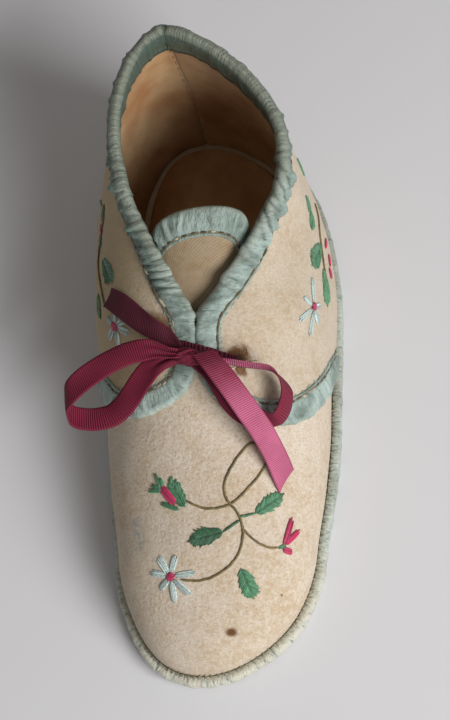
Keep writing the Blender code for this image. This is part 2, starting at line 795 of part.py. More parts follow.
PIECES = {
    "sole": build_sole,
    "insole": build_insole,
    "sole_binding": build_sole_binding,
    "upper": build_upper,
    "tongue": build_tongue,
    "tongue_binding": build_tongue_binding,
    "collar_binding": build_collar_binding,
    "lap_binding_left": lambda: build_lap_binding(INNER),
    "lap_binding_right": lambda: build_lap_binding(OUTER),
    "ribbon_bar": build_ribbon_bar,
    "ribbon_knot": build_knot,
    "ribbon_loop_left": lambda: build_strap(LOOP_LEFT, 28),
    "ribbon_loop_right": lambda: build_strap(LOOP_RIGHT, 20),
    "ribbon_end_lower": lambda: build_strap(END_LOWER, 12),
    "ribbon_end_upper": lambda: build_strap(END_UPPER, 8),
}


def cut_slot(upper, name, share):
    """Cuts a slot through the upper with a hidden block."""
    cutter = finish(name, build_slot_cutter(share), upper.data.materials[0], smooth=False)
    cutter.hide_render = True
    cutter.display_type = "WIRE"
    cut = upper.modifiers.new(name, "BOOLEAN")
    cut.object = cutter
    cut.operation = "DIFFERENCE"
    cut.solver = "EXACT"


def main():
    for obj in list(bpy.data.objects):
        bpy.data.objects.remove(obj, do_unlink=True)
    made = {name: finish(name, build(), look_of(name)) for name, build in PIECES.items()}
    cut_slot(made["upper"], "slot_outer", 1.0)
    cut_slot(made["upper"], "slot_inner", -1.0)


main()
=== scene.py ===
"""Dresses an infant's soft tie shoe: flannel, lining, silk bindings, embroidery and a ribbon bow.

The toe points to -Y, the foot's outer side is +X and the floor is Z = 0. Tables and sizes are in
millimetres, and finish_piece turns them into metres. A place on the cloth is given by u, which runs
along the shoe as y does and on round the toe and heel, and by the length from the upper's top line.
"""

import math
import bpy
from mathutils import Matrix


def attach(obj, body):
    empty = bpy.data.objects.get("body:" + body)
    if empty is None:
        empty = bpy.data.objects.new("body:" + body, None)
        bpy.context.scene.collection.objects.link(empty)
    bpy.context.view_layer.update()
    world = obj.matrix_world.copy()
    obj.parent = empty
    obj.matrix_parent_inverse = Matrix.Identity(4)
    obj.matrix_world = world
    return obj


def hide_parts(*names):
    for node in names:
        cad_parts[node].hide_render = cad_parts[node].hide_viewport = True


bl_info = {
    "name": "Infant's Tie Shoe",
    "version": (1, 0, 0),
    "blender": (4, 5, 0),
    "location": "View3D > Sidebar > Shoe",
    "description": "Builds the cloth, ribbon and embroidery of an infant's soft tie shoe",
    "category": "Object",
}

from collections import namedtuple

import bmesh
import bpy
import numpy as np
from mathutils import Matrix, Vector, noise

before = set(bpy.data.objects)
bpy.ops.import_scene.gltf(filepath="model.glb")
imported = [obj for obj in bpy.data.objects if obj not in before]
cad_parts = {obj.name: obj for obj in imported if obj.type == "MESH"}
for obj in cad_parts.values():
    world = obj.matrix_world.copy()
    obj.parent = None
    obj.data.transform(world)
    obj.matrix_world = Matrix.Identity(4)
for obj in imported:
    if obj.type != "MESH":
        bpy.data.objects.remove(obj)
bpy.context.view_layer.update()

MM = 0.001
FLANNEL_THICK = 0.9
FOOT_BED_THICK = 0.5
SILK_THICK = 0.2
TIE_THICK = 0.3
OUTER = 1
INNER = -1
SIDES = (OUTER, INNER)

# The last, as in the part's source
SOLE_LENGTH = 126.8
TOE_END = -SOLE_LENGTH / 2
HEEL_END = SOLE_LENGTH / 2
TOE_ROUND_Y = -37.0
HEEL_ROUND_Y = 39.0
TOE_REACH = TOE_ROUND_Y - TOE_END
HEEL_REACH = HEEL_END - HEEL_ROUND_Y
FIRST = TOE_ROUND_Y - TOE_REACH * math.pi / 2
LAST = HEEL_ROUND_Y + HEEL_REACH * math.pi / 2
TOE_SPRING = 1.2
TOE_SPRING_Y = -40.0
BOX_MIDDLE = np.array((-0.68, 0.4, 0.0))
GAP = 0.3
SOLE_TOP = 3.0
INSOLE = 1.0
WALL = 1.5
LAP_STEP = 1.2
LAP_STEP_AT_SOLE = 0.25
RIBBON = 0.45
FEATHER = SOLE_TOP + GAP
LEDGE = 2.2
SOLE_LIP = 1.55
SOLE_UNDERLIP = 2.2
COLLAR_SET = 2.2
COLLAR_POINT = 1.45
V_BOTTOM = 3.0
# Up to here the two sides of the upper meet at the crest
CLOSED_END = V_BOTTOM - 0.5
V_END = 31.0
V_OPENING = (0.5, 6.0)
TONGUE_ROOT = -11.0
TONGUE_TIP = 22.8
TONGUE_CORNER_DROP = 5.2
TONGUE_HALF_AT_ROOT = 10.0
TONGUE_UNDERLAP = 3.5
TONGUE_ARCH = 0.27
TIE_WIDTH = 4.8
BAR_CREST = -2.0
KNOT_PLACE = (-2.3, -4.9, 43.0)
KNOT_HALF_SIZE = (3.3, 1.75, 1.9)
Slot = namedtuple("Slot", "u down")
SLOTS = {OUTER: Slot(-3.5, 0.175), INNER: Slot(0.6, 0.14)}

Section = namedtuple("Section", "y mid half top_z top_mid top_half swell_in swell_out")
SECTIONS = (
    Section(-63.4, -4.8, 21.6, 19.0, -4.8, 0.0, 0.8, 0.8),
    Section(-50.0, -2.1, 21.8, 20.2, -2.6, 0.0, 1.9, 1.7),
    Section(-37.0, -1.3, 22.5, 23.6, -1.8, 0.0, 2.2, 1.9),
    Section(-22.0, -0.8, 24.4, 28.8, -1.3, 0.0, 2.3, 1.8),
    Section(-9.0, -0.4, 25.3, 34.6, -1.3, 0.0, 2.3, 1.4),
    Section(3.0, 0.1, 25.2, 40.4, -0.9, 0.75, 3.4, 0.9),
    Section(11.0, 0.6, 25.0, 43.0, -0.1, 5.5, 5.3, 0.7),
    Section(21.0, 1.1, 24.5, 46.0, 0.8, 11.5, 6.4, 0.9),
    Section(31.0, 1.0, 23.5, 48.3, 1.3, 15.7, 5.8, 0.8),
    Section(39.0, 0.5, 22.3, 49.9, 0.7, 16.5, 4.1, 0.2),
    Section(52.0, -1.4, 20.9, 52.9, -1.8, 15.9, 2.2, 0.0),
    Section(63.4, -4.2, 20.2, 55.2, -5.5, 15.9, 0.9, 0.9),
)

Lap = namedtuple("Lap", "down outer_side inner_side")
LAPS = (
    Lap(0.00, -5.5, -5.5),
    Lap(0.07, -10.3, -9.6),
    Lap(0.16, -13.4, -11.6),
    Lap(0.30, -15.0, -12.6),
    Lap(0.45, -14.0, -10.8),
    Lap(0.60, -10.2, -5.8),
    Lap(0.80, -2.6, 1.0),
    Lap(1.00, 8.0, 9.0),
)
LAP_START = LAPS[0].outer_side
LINING_RAMP = 14.0

# The bow's straps from the knot outwards: the middle of the ribbon and the way across it
Fold = namedtuple("Fold", "x y z across_x across_y across_z")
LOOP_LEFT = (
    Fold(-5.1, -4.6, 44.4, 0.30, -0.95, -0.10),
    Fold(-9.5, -3.5, 44.6, 0.20, -0.97, -0.10),
    Fold(-13.6, -4.0, 44.4, 0.36, -0.93, -0.05),
    Fold(-17.7, -5.4, 43.7, 0.44, -0.90, -0.05),
    Fold(-21.2, -7.1, 42.9, 0.48, -0.88, -0.05),
    Fold(-24.4, -9.1, 42.0, 0.44, -0.90, -0.05),
    Fold(-26.6, -10.9, 40.9, 0.30, -0.95, 0.00),
    Fold(-27.7, -12.3, 38.9, 0.10, -0.98, 0.15),
    Fold(-27.5, -13.5, 36.8, 0.05, -0.98, 0.15),
    Fold(-25.7, -14.3, 35.4, 0.02, -1.00, 0.05),
    Fold(-22.7, -14.5, 34.8, 0.10, -0.99, 0.00),
    Fold(-19.6, -14.1, 34.9, 0.33, -0.94, 0.00),
    Fold(-16.8, -12.6, 35.6, 0.60, -0.80, 0.00),
    Fold(-14.5, -10.3, 36.8, 0.76, -0.65, 0.00),
    Fold(-12.2, -7.8, 38.6, 0.74, -0.67, 0.00),
    Fold(-9.6, -5.8, 40.4, 0.60, -0.80, 0.00),
    Fold(-6.6, -5.0, 41.8, 0.45, -0.89, 0.00),
    Fold(-4.4, -4.9, 42.6, 0.40, -0.91, 0.00),
)
LOOP_RIGHT = (
    Fold(1.55, -5.6, 42.6, -0.10, 0.03, -0.99),
    Fold(6.2, -6.0, 42.4, -0.10, 0.10, -0.99),
    Fold(10.0, -6.4, 41.2, -0.10, 0.12, -0.99),
    Fold(13.8, -6.9, 39.4, -0.06, 0.14, -0.99),
    Fold(15.6, -8.1, 37.0, 0.10, 0.16, -0.98),
    Fold(16.7, -10.4, 34.8, 0.36, 0.10, -0.93),
    Fold(16.2, -12.9, 33.2, 0.40, -0.02, -0.92),
    Fold(14.0, -15.7, 32.6, 0.29, -0.18, -0.94),
    Fold(10.5, -15.4, 33.1, -0.10, -0.65, -0.75),
    Fold(7.1, -13.9, 35.2, -0.50, -0.69, -0.53),
    Fold(1.5, -7.7, 40.8, -0.55, -0.69, -0.48),
)
END_LOWER = (
    Fold(0.7, -4.9, 45.1, 0.97, 0.22, -0.02),
    Fold(2.9, -7.2, 45.4, 0.95, 0.30, -0.05),
    Fold(6.6, -11.8, 42.0, 0.88, 0.46, -0.12),
    Fold(9.1, -15.1, 38.3, 0.86, 0.49, -0.13),
    Fold(11.8, -18.9, 34.5, 0.86, 0.49, -0.13),
    Fold(13.7, -22.3, 28.3, 0.85, 0.50, -0.13),
    Fold(15.0, -25.6, 23.1, 0.80, 0.55, -0.20),
)
END_UPPER = (
    Fold(-5.5, -0.7, 42.8, -0.24, 0.95, 0.21),
    Fold(-7.6, 0.4, 42.9, -0.14, 0.94, 0.31),
    Fold(-12.0, 3.8, 41.5, 0.22, 0.93, 0.30),
    Fold(-16.7, 8.3, 39.4, 0.55, 0.70, 0.45),
    Fold(-19.6, 11.1, 36.6, 0.63, 0.50, 0.60),
)


# Curves and lines

def bezier(a, b, c, d, t):
    """A point of the curve from a to d that b and c pull."""
    return (1 - t) ** 3 * a + 3 * t * (1 - t) ** 2 * b + 3 * t * t * (1 - t) * c + t**3 * d


def run_along(points):
    """The length walked along a line, at each of its points."""
    return np.concatenate(([0.0], np.cumsum(np.linalg.norm(np.diff(points, axis=0), axis=1))))


def resampled(points, run, places):
    """A line's points at other lengths along it."""
    return np.stack([np.interp(places, run, column) for column in points.T], axis=1)


def unit(vectors):
    """Rows of vectors, each brought to length 1."""
    return vectors / np.linalg.norm(vectors, axis=-1, keepdims=True)


def smooth_curve(xs, values, x):
    """A smooth curve through a short table's points that never overshoots them."""
    xs = np.array(xs, float)
    values = np.array(values, float)
    step = np.diff(xs)
    slope = np.diff(values) / step
    tangent = np.concatenate(([slope[0]], np.zeros(len(slope) - 1), [slope[-1]]))
    for k in range(1, len(slope)):
        before, after = slope[k - 1], slope[k]
        if before * after > 0:
            weight_before = 2 * step[k] + step[k - 1]
            weight_after = step[k] + 2 * step[k - 1]
            whole = weight_before + weight_after
            tangent[k] = whole / (weight_before / before + weight_after / after)
    x = float(np.clip(x, xs[0], xs[-1]))
    k = int(np.clip(np.searchsorted(xs, x) - 1, 0, len(step) - 1))
    t = (x - xs[k]) / step[k]
    ends = (1 + 2 * t) * (1 - t) ** 2 * values[k] + t * t * (3 - 2 * t) * values[k + 1]
    bends = t * (1 - t) ** 2 * tangent[k] + t * t * (t - 1) * tangent[k + 1]
    return float(ends + step[k] * bends)


def ease(x, low, high):
    """0 up to low, 1 from high on, and a soft ramp between them."""
    t = min(max((x - low) / (high - low), 0.0), 1.0)
    return t * t * (3 - 2 * t)


# The shape of the last

# How far the wall's curve is pulled, as shares of its height and width: up from the sole where it
# is low, less where it stands upright, down from an upright top line, and out from the crest
FOOT_PULL = 0.6
FOOT_PULL_LESS = 0.24
TOP_PULL = 0.36
CREST_PULL = 0.6
# The part of the swell that reaches up to the crest
CREST_SWELL_FROM = 1.6
CREST_SWELL = 0.8


def at_section(column, y):
    return smooth_curve([s.y for s in SECTIONS], [getattr(s, column) for s in SECTIONS], y)


def end_angle(u):
    if u < TOE_ROUND_Y:
        return (TOE_ROUND_Y - u) / TOE_REACH
    if u > HEEL_ROUND_Y:
        return (u - HEEL_ROUND_Y) / HEEL_REACH
    return 0.0


def along(u, inset=0.0):
    """The y of the outline at u, with the outline drawn in by inset."""
    if u < TOE_ROUND_Y:
        return TOE_ROUND_Y - (TOE_REACH - inset) * math.sin(end_angle(u))
    if u > HEEL_ROUND_Y:
        return HEEL_ROUND_Y + (HEEL_REACH - inset) * math.sin(end_angle(u))
    return u


def plan(side, u, inset=0.0):
    """A point of the sole's outline, drawn in by inset, as x and y."""
    y = along(u)
    half = (at_section("half", y) - inset) * math.cos(end_angle(u))
    return np.array([at_section("mid", y) + side * half, along(u, inset)])


def outward(side, u):
    """The way out from the outline at u, in plan."""
    step = plan(side, u + 0.05, LEDGE) - plan(side, u - 0.05, LEDGE)
    return unit(side * np.array([step[1], -step[0], 0.0]))


def top_line(side, u):
    """The upper's top line: the crest in front, the edge of the opening behind."""
    y = along(u)
    set_in = COLLAR_SET if u > HEEL_ROUND_Y else LEDGE
    height = at_section("top_z", y)
    half = at_section("top_half", y) * ease(u, *V_OPENING) if u > CLOSED_END else 0.0
    if u < TOE_ROUND_Y:
        height = FEATHER + (height - FEATHER) * math.cos(end_angle(u))
    if u > HEEL_ROUND_Y:
        half *= math.cos(end_angle(u)) ** COLLAR_POINT
    return np.array([at_section("top_mid", y) + side * half, along(u, set_in), height])


def lift(y):
    """The toe spring: the sole and all on it rise towards the toe."""
    past = np.maximum(0.0, (TOE_SPRING_Y - y) / (TOE_SPRING_Y - TOE_END))
    return TOE_SPRING * past * past


def settle(points):
    """Puts points of the last where the part has them, with the toe spring and the centring."""
    points = np.array(points, float)
    points[..., 2] += lift(points[..., 1])
    return points - BOX_MIDDLE


SHARES = np.linspace(0, 1, 49)
STOPS = np.linspace(FIRST, LAST, 641)
Wall = namedtuple("Wall", "points facings lengths")


def wall_curve(side, u):
    """One side of a section, from the top line down to the sole, at even shares of its length."""
    foot = np.array([*plan(side, u, LEDGE), FEATHER])
    top = top_line(side, u)
    height = top[2] - foot[2]
    width = abs(foot[0] - top[0])
    upright = ease(u, V_BOTTOM, V_END)
    swell = at_section("swell_out" if side > 0 else "swell_in", along(u)) * 4 / 3
    if u < TOE_ROUND_Y:
        swell *= math.cos(end_angle(u))
    out = outward(side, u)
    up = np.array([0.0, 0.0, 1.0])
    low = foot + out * swell + up * height * (FOOT_PULL - FOOT_PULL_LESS * upright)
    arched = top + np.array([side * CREST_PULL * width, 0.0, 0.0])
    arched = arched + out * max(0.0, swell - CREST_SWELL_FROM) * CREST_SWELL
    standing = top + out * swell - up * height * TOP_PULL
    high = arched * (1 - upright) + standing * upright
    points = bezier(foot, low, high, top, np.linspace(1.0, 0.0, 61)[:, None])
    run = run_along(points)
    return resampled(points, run, SHARES * run[-1]), run[-1]


def survey():
    """Both walls of the last as fine tables of points, outward directions and lengths."""
    points = {}
    lengths = {}
    for side in SIDES:
        curves = [wall_curve(side, u) for u in STOPS]
        points[side] = settle([curve for curve, _ in curves])
        lengths[side] = np.array([length for _, length in curves])
    closed = STOPS < CLOSED_END
    walls = {}
    for side in SIDES:
        across = np.gradient(points[side], axis=1)
        across[closed, 0] = (points[side][closed, 1] - points[-side][closed, 1]) / 2
        forward = np.concatenate(
            [np.gradient(points[side][part], axis=0) for part in (closed, ~closed)]
        )
        ways = side * np.cross(across, forward)
        sizes = np.linalg.norm(ways, axis=2, keepdims=True)
        facings = ways / np.maximum(sizes, 1e-9)
        facings[0] = (0.0, -1.0, 0.0)
        walls[side] = Wall(points[side], facings, lengths[side])
    return walls


WALLS = survey()


def at_stop(table, u):
    place = min(max((u - FIRST) / (LAST - FIRST), 0.0), 1.0) * (len(STOPS) - 1)
    i = min(int(place), len(STOPS) - 2)
    return table[i] + (table[i + 1] - table[i]) * (place - i)


def at_share(table, u, down):
    row = at_stop(table, u)
    place = min(max(down, 0.0), 1.0) * (len(SHARES) - 1)
    j = min(int(place), len(SHARES) - 2)
    return row[j] + (row[j + 1] - row[j]) * (place - j)


def wall_length(side, u):
    return float(at_stop(WALLS[side].lengths, u))


def wall_point(side, u, down):
    return at_share(WALLS[side].points, u, down)


def wall_facing(side, u, down):
    return at_share(WALLS[side].facings, u, down)


def skin(side, u, down, offset):
    """A point at a distance outside the vamp's outer face, flat where the wall meets the sole."""
    point = wall_point(side, u, down)
    lifted = point + wall_facing(side, u, down) * offset
    if down > 0.999:
        lifted[2] = point[2]
    return lifted


def skin_at(side, u, length, offset):
    """As skin, by the length from the top line; less than 0 is above the rim or past the crest."""
    if length >= 0:
        return skin(side, u, length / wall_length(side, u), offset)
    if u < CLOSED_END:
        return skin(-side, u, -length / wall_length(-side, u), offset)
    rim = skin(side, u, 0.0, offset)
    return rim + unit(wall_point(side, u, 0.0) - wall_point(side, u, 0.03)) * -length


def lap_line(side, down):
    """Where along the shoe the quarter's front edge lies."""
    values = [row.outer_side if side > 0 else row.inner_side for row in LAPS]
    return smooth_curve([row.down for row in LAPS], values, down)


LAP_SHARES = np.linspace(0, 1, 201)
LAP_LINES = {side: np.array([lap_line(side, d) for d in LAP_SHARES]) for side in SIDES}


def lap_at(side, down):
    return float(np.interp(down, LAP_SHARES, LAP_LINES[side]))


def lap_height(down):
    """The step of the quarter over the vamp, pressed flat where both are sewn to the sole."""
    return LAP_STEP + (LAP_STEP_AT_SOLE - LAP_STEP) * ease(down, 0.9, 1.0)


def inside(side, u, down):
    """The offset of the upper's inner face: it follows the quarter out behind the lap."""
    behind = u - lap_at(side, down)
    return lap_height(down) * ease(behind, 4.0, LINING_RAMP) - WALL


def tongue_drop(u):
    """How far the tongue lies inside the upper: sewn to it at the root, clear of its bindings above."""
    return GAP + 0.05 + 0.8 * ease(u, -8.0, -3.0) + 0.85 * ease(u, -1.0, 5.0)


def tongue_face(u, across):
    """The tongue's outer face: across is the length from its middle, which runs on under the flaps."""
    drop = tongue_drop(u)
    ends = [skin(side, u, 0.0, inside(side, u, 0.0) - drop) for side in (INNER, OUTER)]
    half = np.linalg.norm(ends[1] - ends[0]) / 2 if u > CLOSED_END else 0.0
    if abs(across) >= half:
        side = OUTER if across > 0 else INNER
        down = (abs(across) - half) / wall_length(side, u)
        return skin(side, u, down, inside(side, u, down) - drop)
    first, last = ends
    near = skin_at(INNER, u, -half * 2 * TONGUE_ARCH, 0.0) - skin_at(INNER, u, 0.0, 0.0) + first
    far = skin_at(OUTER, u, -half * 2 * TONGUE_ARCH, 0.0) - skin_at(OUTER, u, 0.0, 0.0) + last
    t = (across / half + 1) / 2
    return bezier(first, near, far, last, t)


def tongue_half(u):
    if u < CLOSED_END:
        return TONGUE_HALF_AT_ROOT
    gap = np.linalg.norm(skin(OUTER, u, 0.0, 0.0) - skin(INNER, u, 0.0, 0.0)) / 2
    return max(TONGUE_HALF_AT_ROOT, gap + TONGUE_UNDERLAP)


def tongue_at(share, depth):
    """A point of the tongue by its share of the half width and its depth below the top edge."""
    u = max(TONGUE_TIP - TONGUE_CORNER_DROP * share * share - depth, TONGUE_ROOT)
    return tongue_face(u, share * tongue_half(u))


def tongue_skin(share, depth, offset):
    """A point at a distance outside the tongue's outer face."""
    across = tongue_at(share + 0.04, depth) - tongue_at(share - 0.04, depth)
    upwards = tongue_at(share, depth - 0.3) - tongue_at(share, depth + 0.3)
    return tongue_at(share, depth) + unit(np.cross(across, upwards)) * offset


# Making meshes

def add_grid(bm, columns, rows, spot, bend=None):
    """A sheet from a grid: spot(i, j) gives its vertices' place, and their place on the flat cloth.

    bend(i, j), where there is one, is kept with the vertices as the attribute fold.
    """
    flat_map = bm.loops.layers.uv.verify()
    layer = bm.verts.layers.float.new("fold") if bend else None
    verts = bmesh.ops.create_grid(bm, x_segments=columns, y_segments=rows, size=1.0)["verts"]
    flat = {}
    for vert in verts:
        i = round((vert.co.x + 1) / 2 * columns)
        j = round((vert.co.y + 1) / 2 * rows)
        place, on_cloth = spot(i, j)
        vert.co = Vector(place)
        flat[vert] = on_cloth
        if bend:
            vert[layer] = bend(i, j)
    for face in {face for vert in verts for face in vert.link_faces}:
        for loop in face.loops:
            loop[flat_map].uv = flat[loop.vert]


def face_out(bm, inwards=False):
    """Turns a sheet of the upper so that its faces look away from the foot, or towards it."""
    bmesh.ops.recalc_face_normals(bm, faces=bm.faces[:])
    bm.normal_update()
    look = 0.0
    for face in bm.faces:
        middle = face.calc_center_median()
        away = middle - Vector((0.0, min(max(middle.y, -40.0), 45.0), 12.0))
        look += face.normal.dot(away.normalized()) * face.calc_area()
    if (look < 0) != inwards:
        bmesh.ops.reverse_faces(bm, faces=bm.faces[:])


def weld(bm, reach=0.01, behind=-math.inf):
    """Joins vertices that lie on each other, where y is past behind."""
    verts = [vert for vert in bm.verts if vert.co.y > behind]
    bmesh.ops.remove_doubles(bm, verts=verts, dist=reach)


def wall_sheet(columns, rows, span, height, behind=-math.inf, inwards=False):
    """A sheet over both walls of the upper, welded where its sides meet.

    span(side, down) gives its two ends along the shoe, and height(side, u, down) its offset.
    """
    bm = bmesh.new()
    for side in SIDES:
        def spot(i, j, side=side):
            down = j / rows
            start, end = span(side, down)
            u = start + (end - start) * i / columns
            return skin(side, u, down, height(side, u, down)), (side * down * wall_length(side, u), u)

        add_grid(bm, columns, rows, spot)
    weld(bm, behind=behind)
    face_out(bm, inwards)
    return bm


def finish_piece(name, bm, finish, nodes=(), thickness=0.0):
    """Turns a bmesh in millimetres into a piece of the shoe, in metres, that rides on it."""
    bmesh.ops.transform(bm, matrix=Matrix.Scale(MM, 4), verts=bm.verts[:])
    mesh = bpy.data.meshes.new(name)
    bm.to_mesh(mesh)
    bm.free()
    mesh.materials.append(finish)
    mesh.shade_smooth()
    piece = bpy.data.objects.new(name, mesh)
    bpy.context.scene.collection.objects.link(piece)
    if thickness:
        thicken = piece.modifiers.new("thickness", "SOLIDIFY")
        thicken.thickness = thickness * MM
        thicken.offset = -1.0
    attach(piece, "root")
    if nodes:
        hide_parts(*nodes)
    return piece


def soft_noise(point, size, seed=0.0):
    """Smooth noise from -1 to 1 with lumps of about size millimetres."""
    return noise.noise(Vector(point) / size + Vector((seed, 0.37 * seed, -0.21 * seed)))


class Gathers:
    """Small folds across a sewn ribbon, at uneven steps along it."""

    def __init__(self, length, step, height, seed):
        rng = np.random.default_rng(seed)
        count = max(int(length / step), 2)
        self.places = (np.arange(count) + rng.uniform(-0.35, 0.35, count)) * length / count
        self.widths = step * rng.uniform(0.16, 0.34, count)
        self.slants = rng.uniform(-0.6, 0.6, count)
        self.heights = height * rng.uniform(-0.25, 1.0, count)

    def add(self, place, height, width, slant):
        """One more fold, placed as given."""
        self.places = np.append(self.places, place)
        self.heights = np.append(self.heights, height)
        self.widths = np.append(self.widths, width)
        self.slants = np.append(self.slants, slant)

    def bend(self, run, across, reach=0.6):
        """How sharply the folds turn: above 0 in a valley between two, below 0 on a ridge."""
        return self.at(run + reach, across) + self.at(run - reach, across) - 2 * self.at(run, across)

    def at(self, run, across):
        """The height of the folds at a length along the ribbon and a place across it."""
        off = (run - self.places - self.slants * across) / self.widths
        near = np.abs(off) < 3
        return float(np.sum(self.heights[near] * np.exp(-np.abs(off[near]) ** 1.5)))


# Finishes

WHITE = (1.0, 1.0, 1.0)


class Finish:
    """A material and the nodes that feed its shader."""

    def __init__(self, name, roughness, sheen=0.0, sheen_tint=WHITE, specular=0.25):
        self.material = bpy.data.materials.new(name)
        self.material.use_nodes = True
        self.tree = self.material.node_tree
        self.shader = self.tree.nodes["Principled BSDF"]
        self.feed(self.shader, {
            "Roughness": roughness, "Sheen Weight": sheen, "Sheen Tint": sheen_tint,
            "Specular IOR Level": specular,
        })

    def feed(self, node, inputs):
        """Puts other nodes' outputs, colours or values into a node's inputs."""
        for key, value in inputs.items():
            socket = node.inputs[key]
            if isinstance(value, bpy.types.NodeSocket):
                self.tree.links.new(value, socket)
            else:
                socket.default_value = (*value, 1.0) if socket.type == "RGBA" else value
        return node

    def node(self, kind, inputs=None, **options):
        node = self.tree.nodes.new("ShaderNode" + kind)
        for name, value in options.items():
            setattr(node, name, value)
        return self.feed(node, inputs or {})

    def place(self):
        """Object coordinates, in metres."""
        return self.node("TexCoord").outputs["Object"]

    def flat(self):
        """The place on the flat cloth, in millimetres."""
        return self.node("UVMap").outputs["UV"]

    def parts(self, vector):
        return self.node("SeparateXYZ", {0: vector}).outputs[:]

    def attribute(self, name, output):
        return self.node("Attribute", attribute_name=name).outputs[output]

    def math(self, kind, a, b=0.0, c=0.0, clamp=False):
        return self.node("Math", {0: a, 1: b, 2: c}, operation=kind, use_clamp=clamp).outputs[0]

    def times(self, a, b, clamp=False):
        return self.math("MULTIPLY", a, b, clamp=clamp)

    def plus(self, a, b):
        return self.math("ADD", a, b)

    def noise(self, vector, scale, detail=2.0, rough=0.5, warp=0.0):
        inputs = {"Vector": vector, "Scale": scale, "Detail": detail, "Roughness": rough, "Distortion": warp}
        return self.node("TexNoise", inputs).outputs["Fac"]

    def ramp(self, value, low, high, to_low=0.0, to_high=1.0):
        """A soft step: to_low up to low, to_high from high on."""
        inputs = {"Value": value, "From Min": low, "From Max": high, "To Min": to_low, "To Max": to_high}
        return self.node("MapRange", inputs, interpolation_type="SMOOTHSTEP").outputs["Result"]

    def mix(self, share, a, b):
        return self.node("Mix", {0: share, 6: a, 7: b}, data_type="RGBA").outputs[2]

    def scaled(self, vector, scale):
        return self.node("VectorMath", {0: vector, 1: scale}, operation="MULTIPLY").outputs[0]

    def away(self, flat, spot):
        """The distance from a spot on the flat cloth."""
        inputs = {0: flat, 1: (spot.across, spot.u, 0.0)}
        return self.node("VectorMath", inputs, operation="DISTANCE").outputs["Value"]

    def waves(self, value, pitch):
        """Ribs from 0 to 1 at a pitch along a value."""
        turned = self.times(value, 2 * math.pi / pitch)
        return self.math("MULTIPLY_ADD", self.math("SINE", turned), 0.5, 0.5)

    def bump(self, height, depth, strength=1.0, before=None):
        """Bump from a height of 0 to 1, depth millimetres deep."""
        inputs = {"Strength": strength, "Distance": depth * MM, "Height": height}
        if before is not None:
            inputs["Normal"] = before
        return self.node("Bump", inputs).outputs["Normal"]

    def done(self, colour, normal=None):
        self.feed(self.shader, {"Base Color": colour})
        if normal is not None:
            self.feed(self.shader, {"Normal": normal})
        return self.material


def colour_setting(name, description, default):
    return bpy.props.FloatVectorProperty(
        name=name, description=description, subtype="COLOR", size=3, min=0, max=1, default=default)


def length_setting(name, description, default, low=0.0, high=2.0):
    """A length: the default and the limits are in millimetres."""
    return bpy.props.FloatProperty(
        name=name, description=description, unit="LENGTH", min=low * MM, max=high * MM,
        precision=5, default=default * MM)


class ShoeCloth(bpy.types.PropertyGroup):
    """Colours and sizes of the flannel, its lining and the sole."""

    flannel: colour_setting("Flannel", "The flannel where it is clean", (0.725, 0.645, 0.545))
    flannel_aged: colour_setting("Aged flannel", "The flannel where it has yellowed", (0.575, 0.45, 0.31))
    lining: colour_setting("Lining", "The cotton lining", (0.60, 0.41, 0.22))
    lining_aged: colour_setting("Aged lining", "The lining where it has browned", (0.40, 0.19, 0.075))
    sole: colour_setting("Sole", "The cloth of the sole", (0.62, 0.53, 0.40))
    thread_pitch: length_setting("Thread pitch", "Distance between the flannel's threads", 0.42, low=0.1)
    unevenness: length_setting("Unevenness", "How far the soft wall leaves its smooth form", 0.28)


class ShoeRibbon(bpy.types.PropertyGroup):
    """Colours and sizes of the binding and tie ribbons."""

    binding: colour_setting("Binding", "The silk of the bindings", (0.455, 0.58, 0.54))
    # Also painted shade: the binding finish mixes this colour in towards the back of the collar and on the
    # inner side
    binding_deep_and_shade: colour_setting(
        "Deep binding", "The bindings where they keep their colour", (0.10, 0.148, 0.118))
    binding_worn: colour_setting("Worn binding", "The bindings where they have faded", (0.52, 0.50, 0.40))
    tie: colour_setting("Tie", "The tie ribbon at the knot", (0.165, 0.006, 0.022))
    # Painted shade: the tie ribbon's colour at its upper end and on the bar under the bow
    tie_shaded: colour_setting("Deep tie", "The tie ribbon at its upper end", (0.03, 0.0025, 0.0045))
    tie_faded: colour_setting("Faded tie", "The tie ribbon at its lower end", (0.66, 0.175, 0.315))
    gather_height: length_setting("Gather height", "Height of the small folds in the bindings", 0.7)
    rib_pitch: length_setting("Rib pitch", "Distance between the tie ribbon's ribs", 0.45, low=0.1)


class ShoeThread(bpy.types.PropertyGroup):
    """Colours of the embroidery silks and the sewing thread."""

    stem: colour_setting("Stem", "Silk of the stems", (0.21, 0.155, 0.055))
    leaf: colour_setting("Leaf", "Silk of the leaves", (0.085, 0.265, 0.135))
    leaf_rib: colour_setting("Leaf rib", "Silk of the leaves' dark ribs", (0.025, 0.085, 0.05))
    petal: colour_setting("Petal", "Silk of the star flowers' petals", (0.56, 0.68, 0.66))
    bloom: colour_setting("Bloom", "Silk of the buds and the flowers' hearts", (0.60, 0.03, 0.13))
    sewing: colour_setting("Sewing thread", "Thread along the bindings", (0.125, 0.095, 0.04))
    sewing_pale: colour_setting(
        "Pale sewing thread", "Thread along the bindings where it has faded", (0.58, 0.50, 0.34))
    sole_thread: colour_setting("Sole thread", "Thread round the sole", (0.25, 0.235, 0.145))
    raw_edge: colour_setting("Raw edge", "Loose threads of the ribbon's raw edge", (0.34, 0.50, 0.42))
    fray: colour_setting("Fray", "Rusty fibres round the slots of the tie ribbon", (0.26, 0.115, 0.03))


class ShoeStage(bpy.types.PropertyGroup):
    """The floor and the lights."""

    floor: colour_setting("Floor", "Colour of the floor", (0.74, 0.745, 0.775))
    window_power: bpy.props.FloatProperty(
        name="Window power", description="Power of the large soft light",
        unit="POWER", min=0.0, max=200.0, default=9.2)
    sky_strength: bpy.props.FloatProperty(
        name="Sky strength", description="Strength of the even light from all sides",
        min=0.0, max=5.0, default=0.2)


def settings(name):
    return getattr(bpy.context.scene, name)
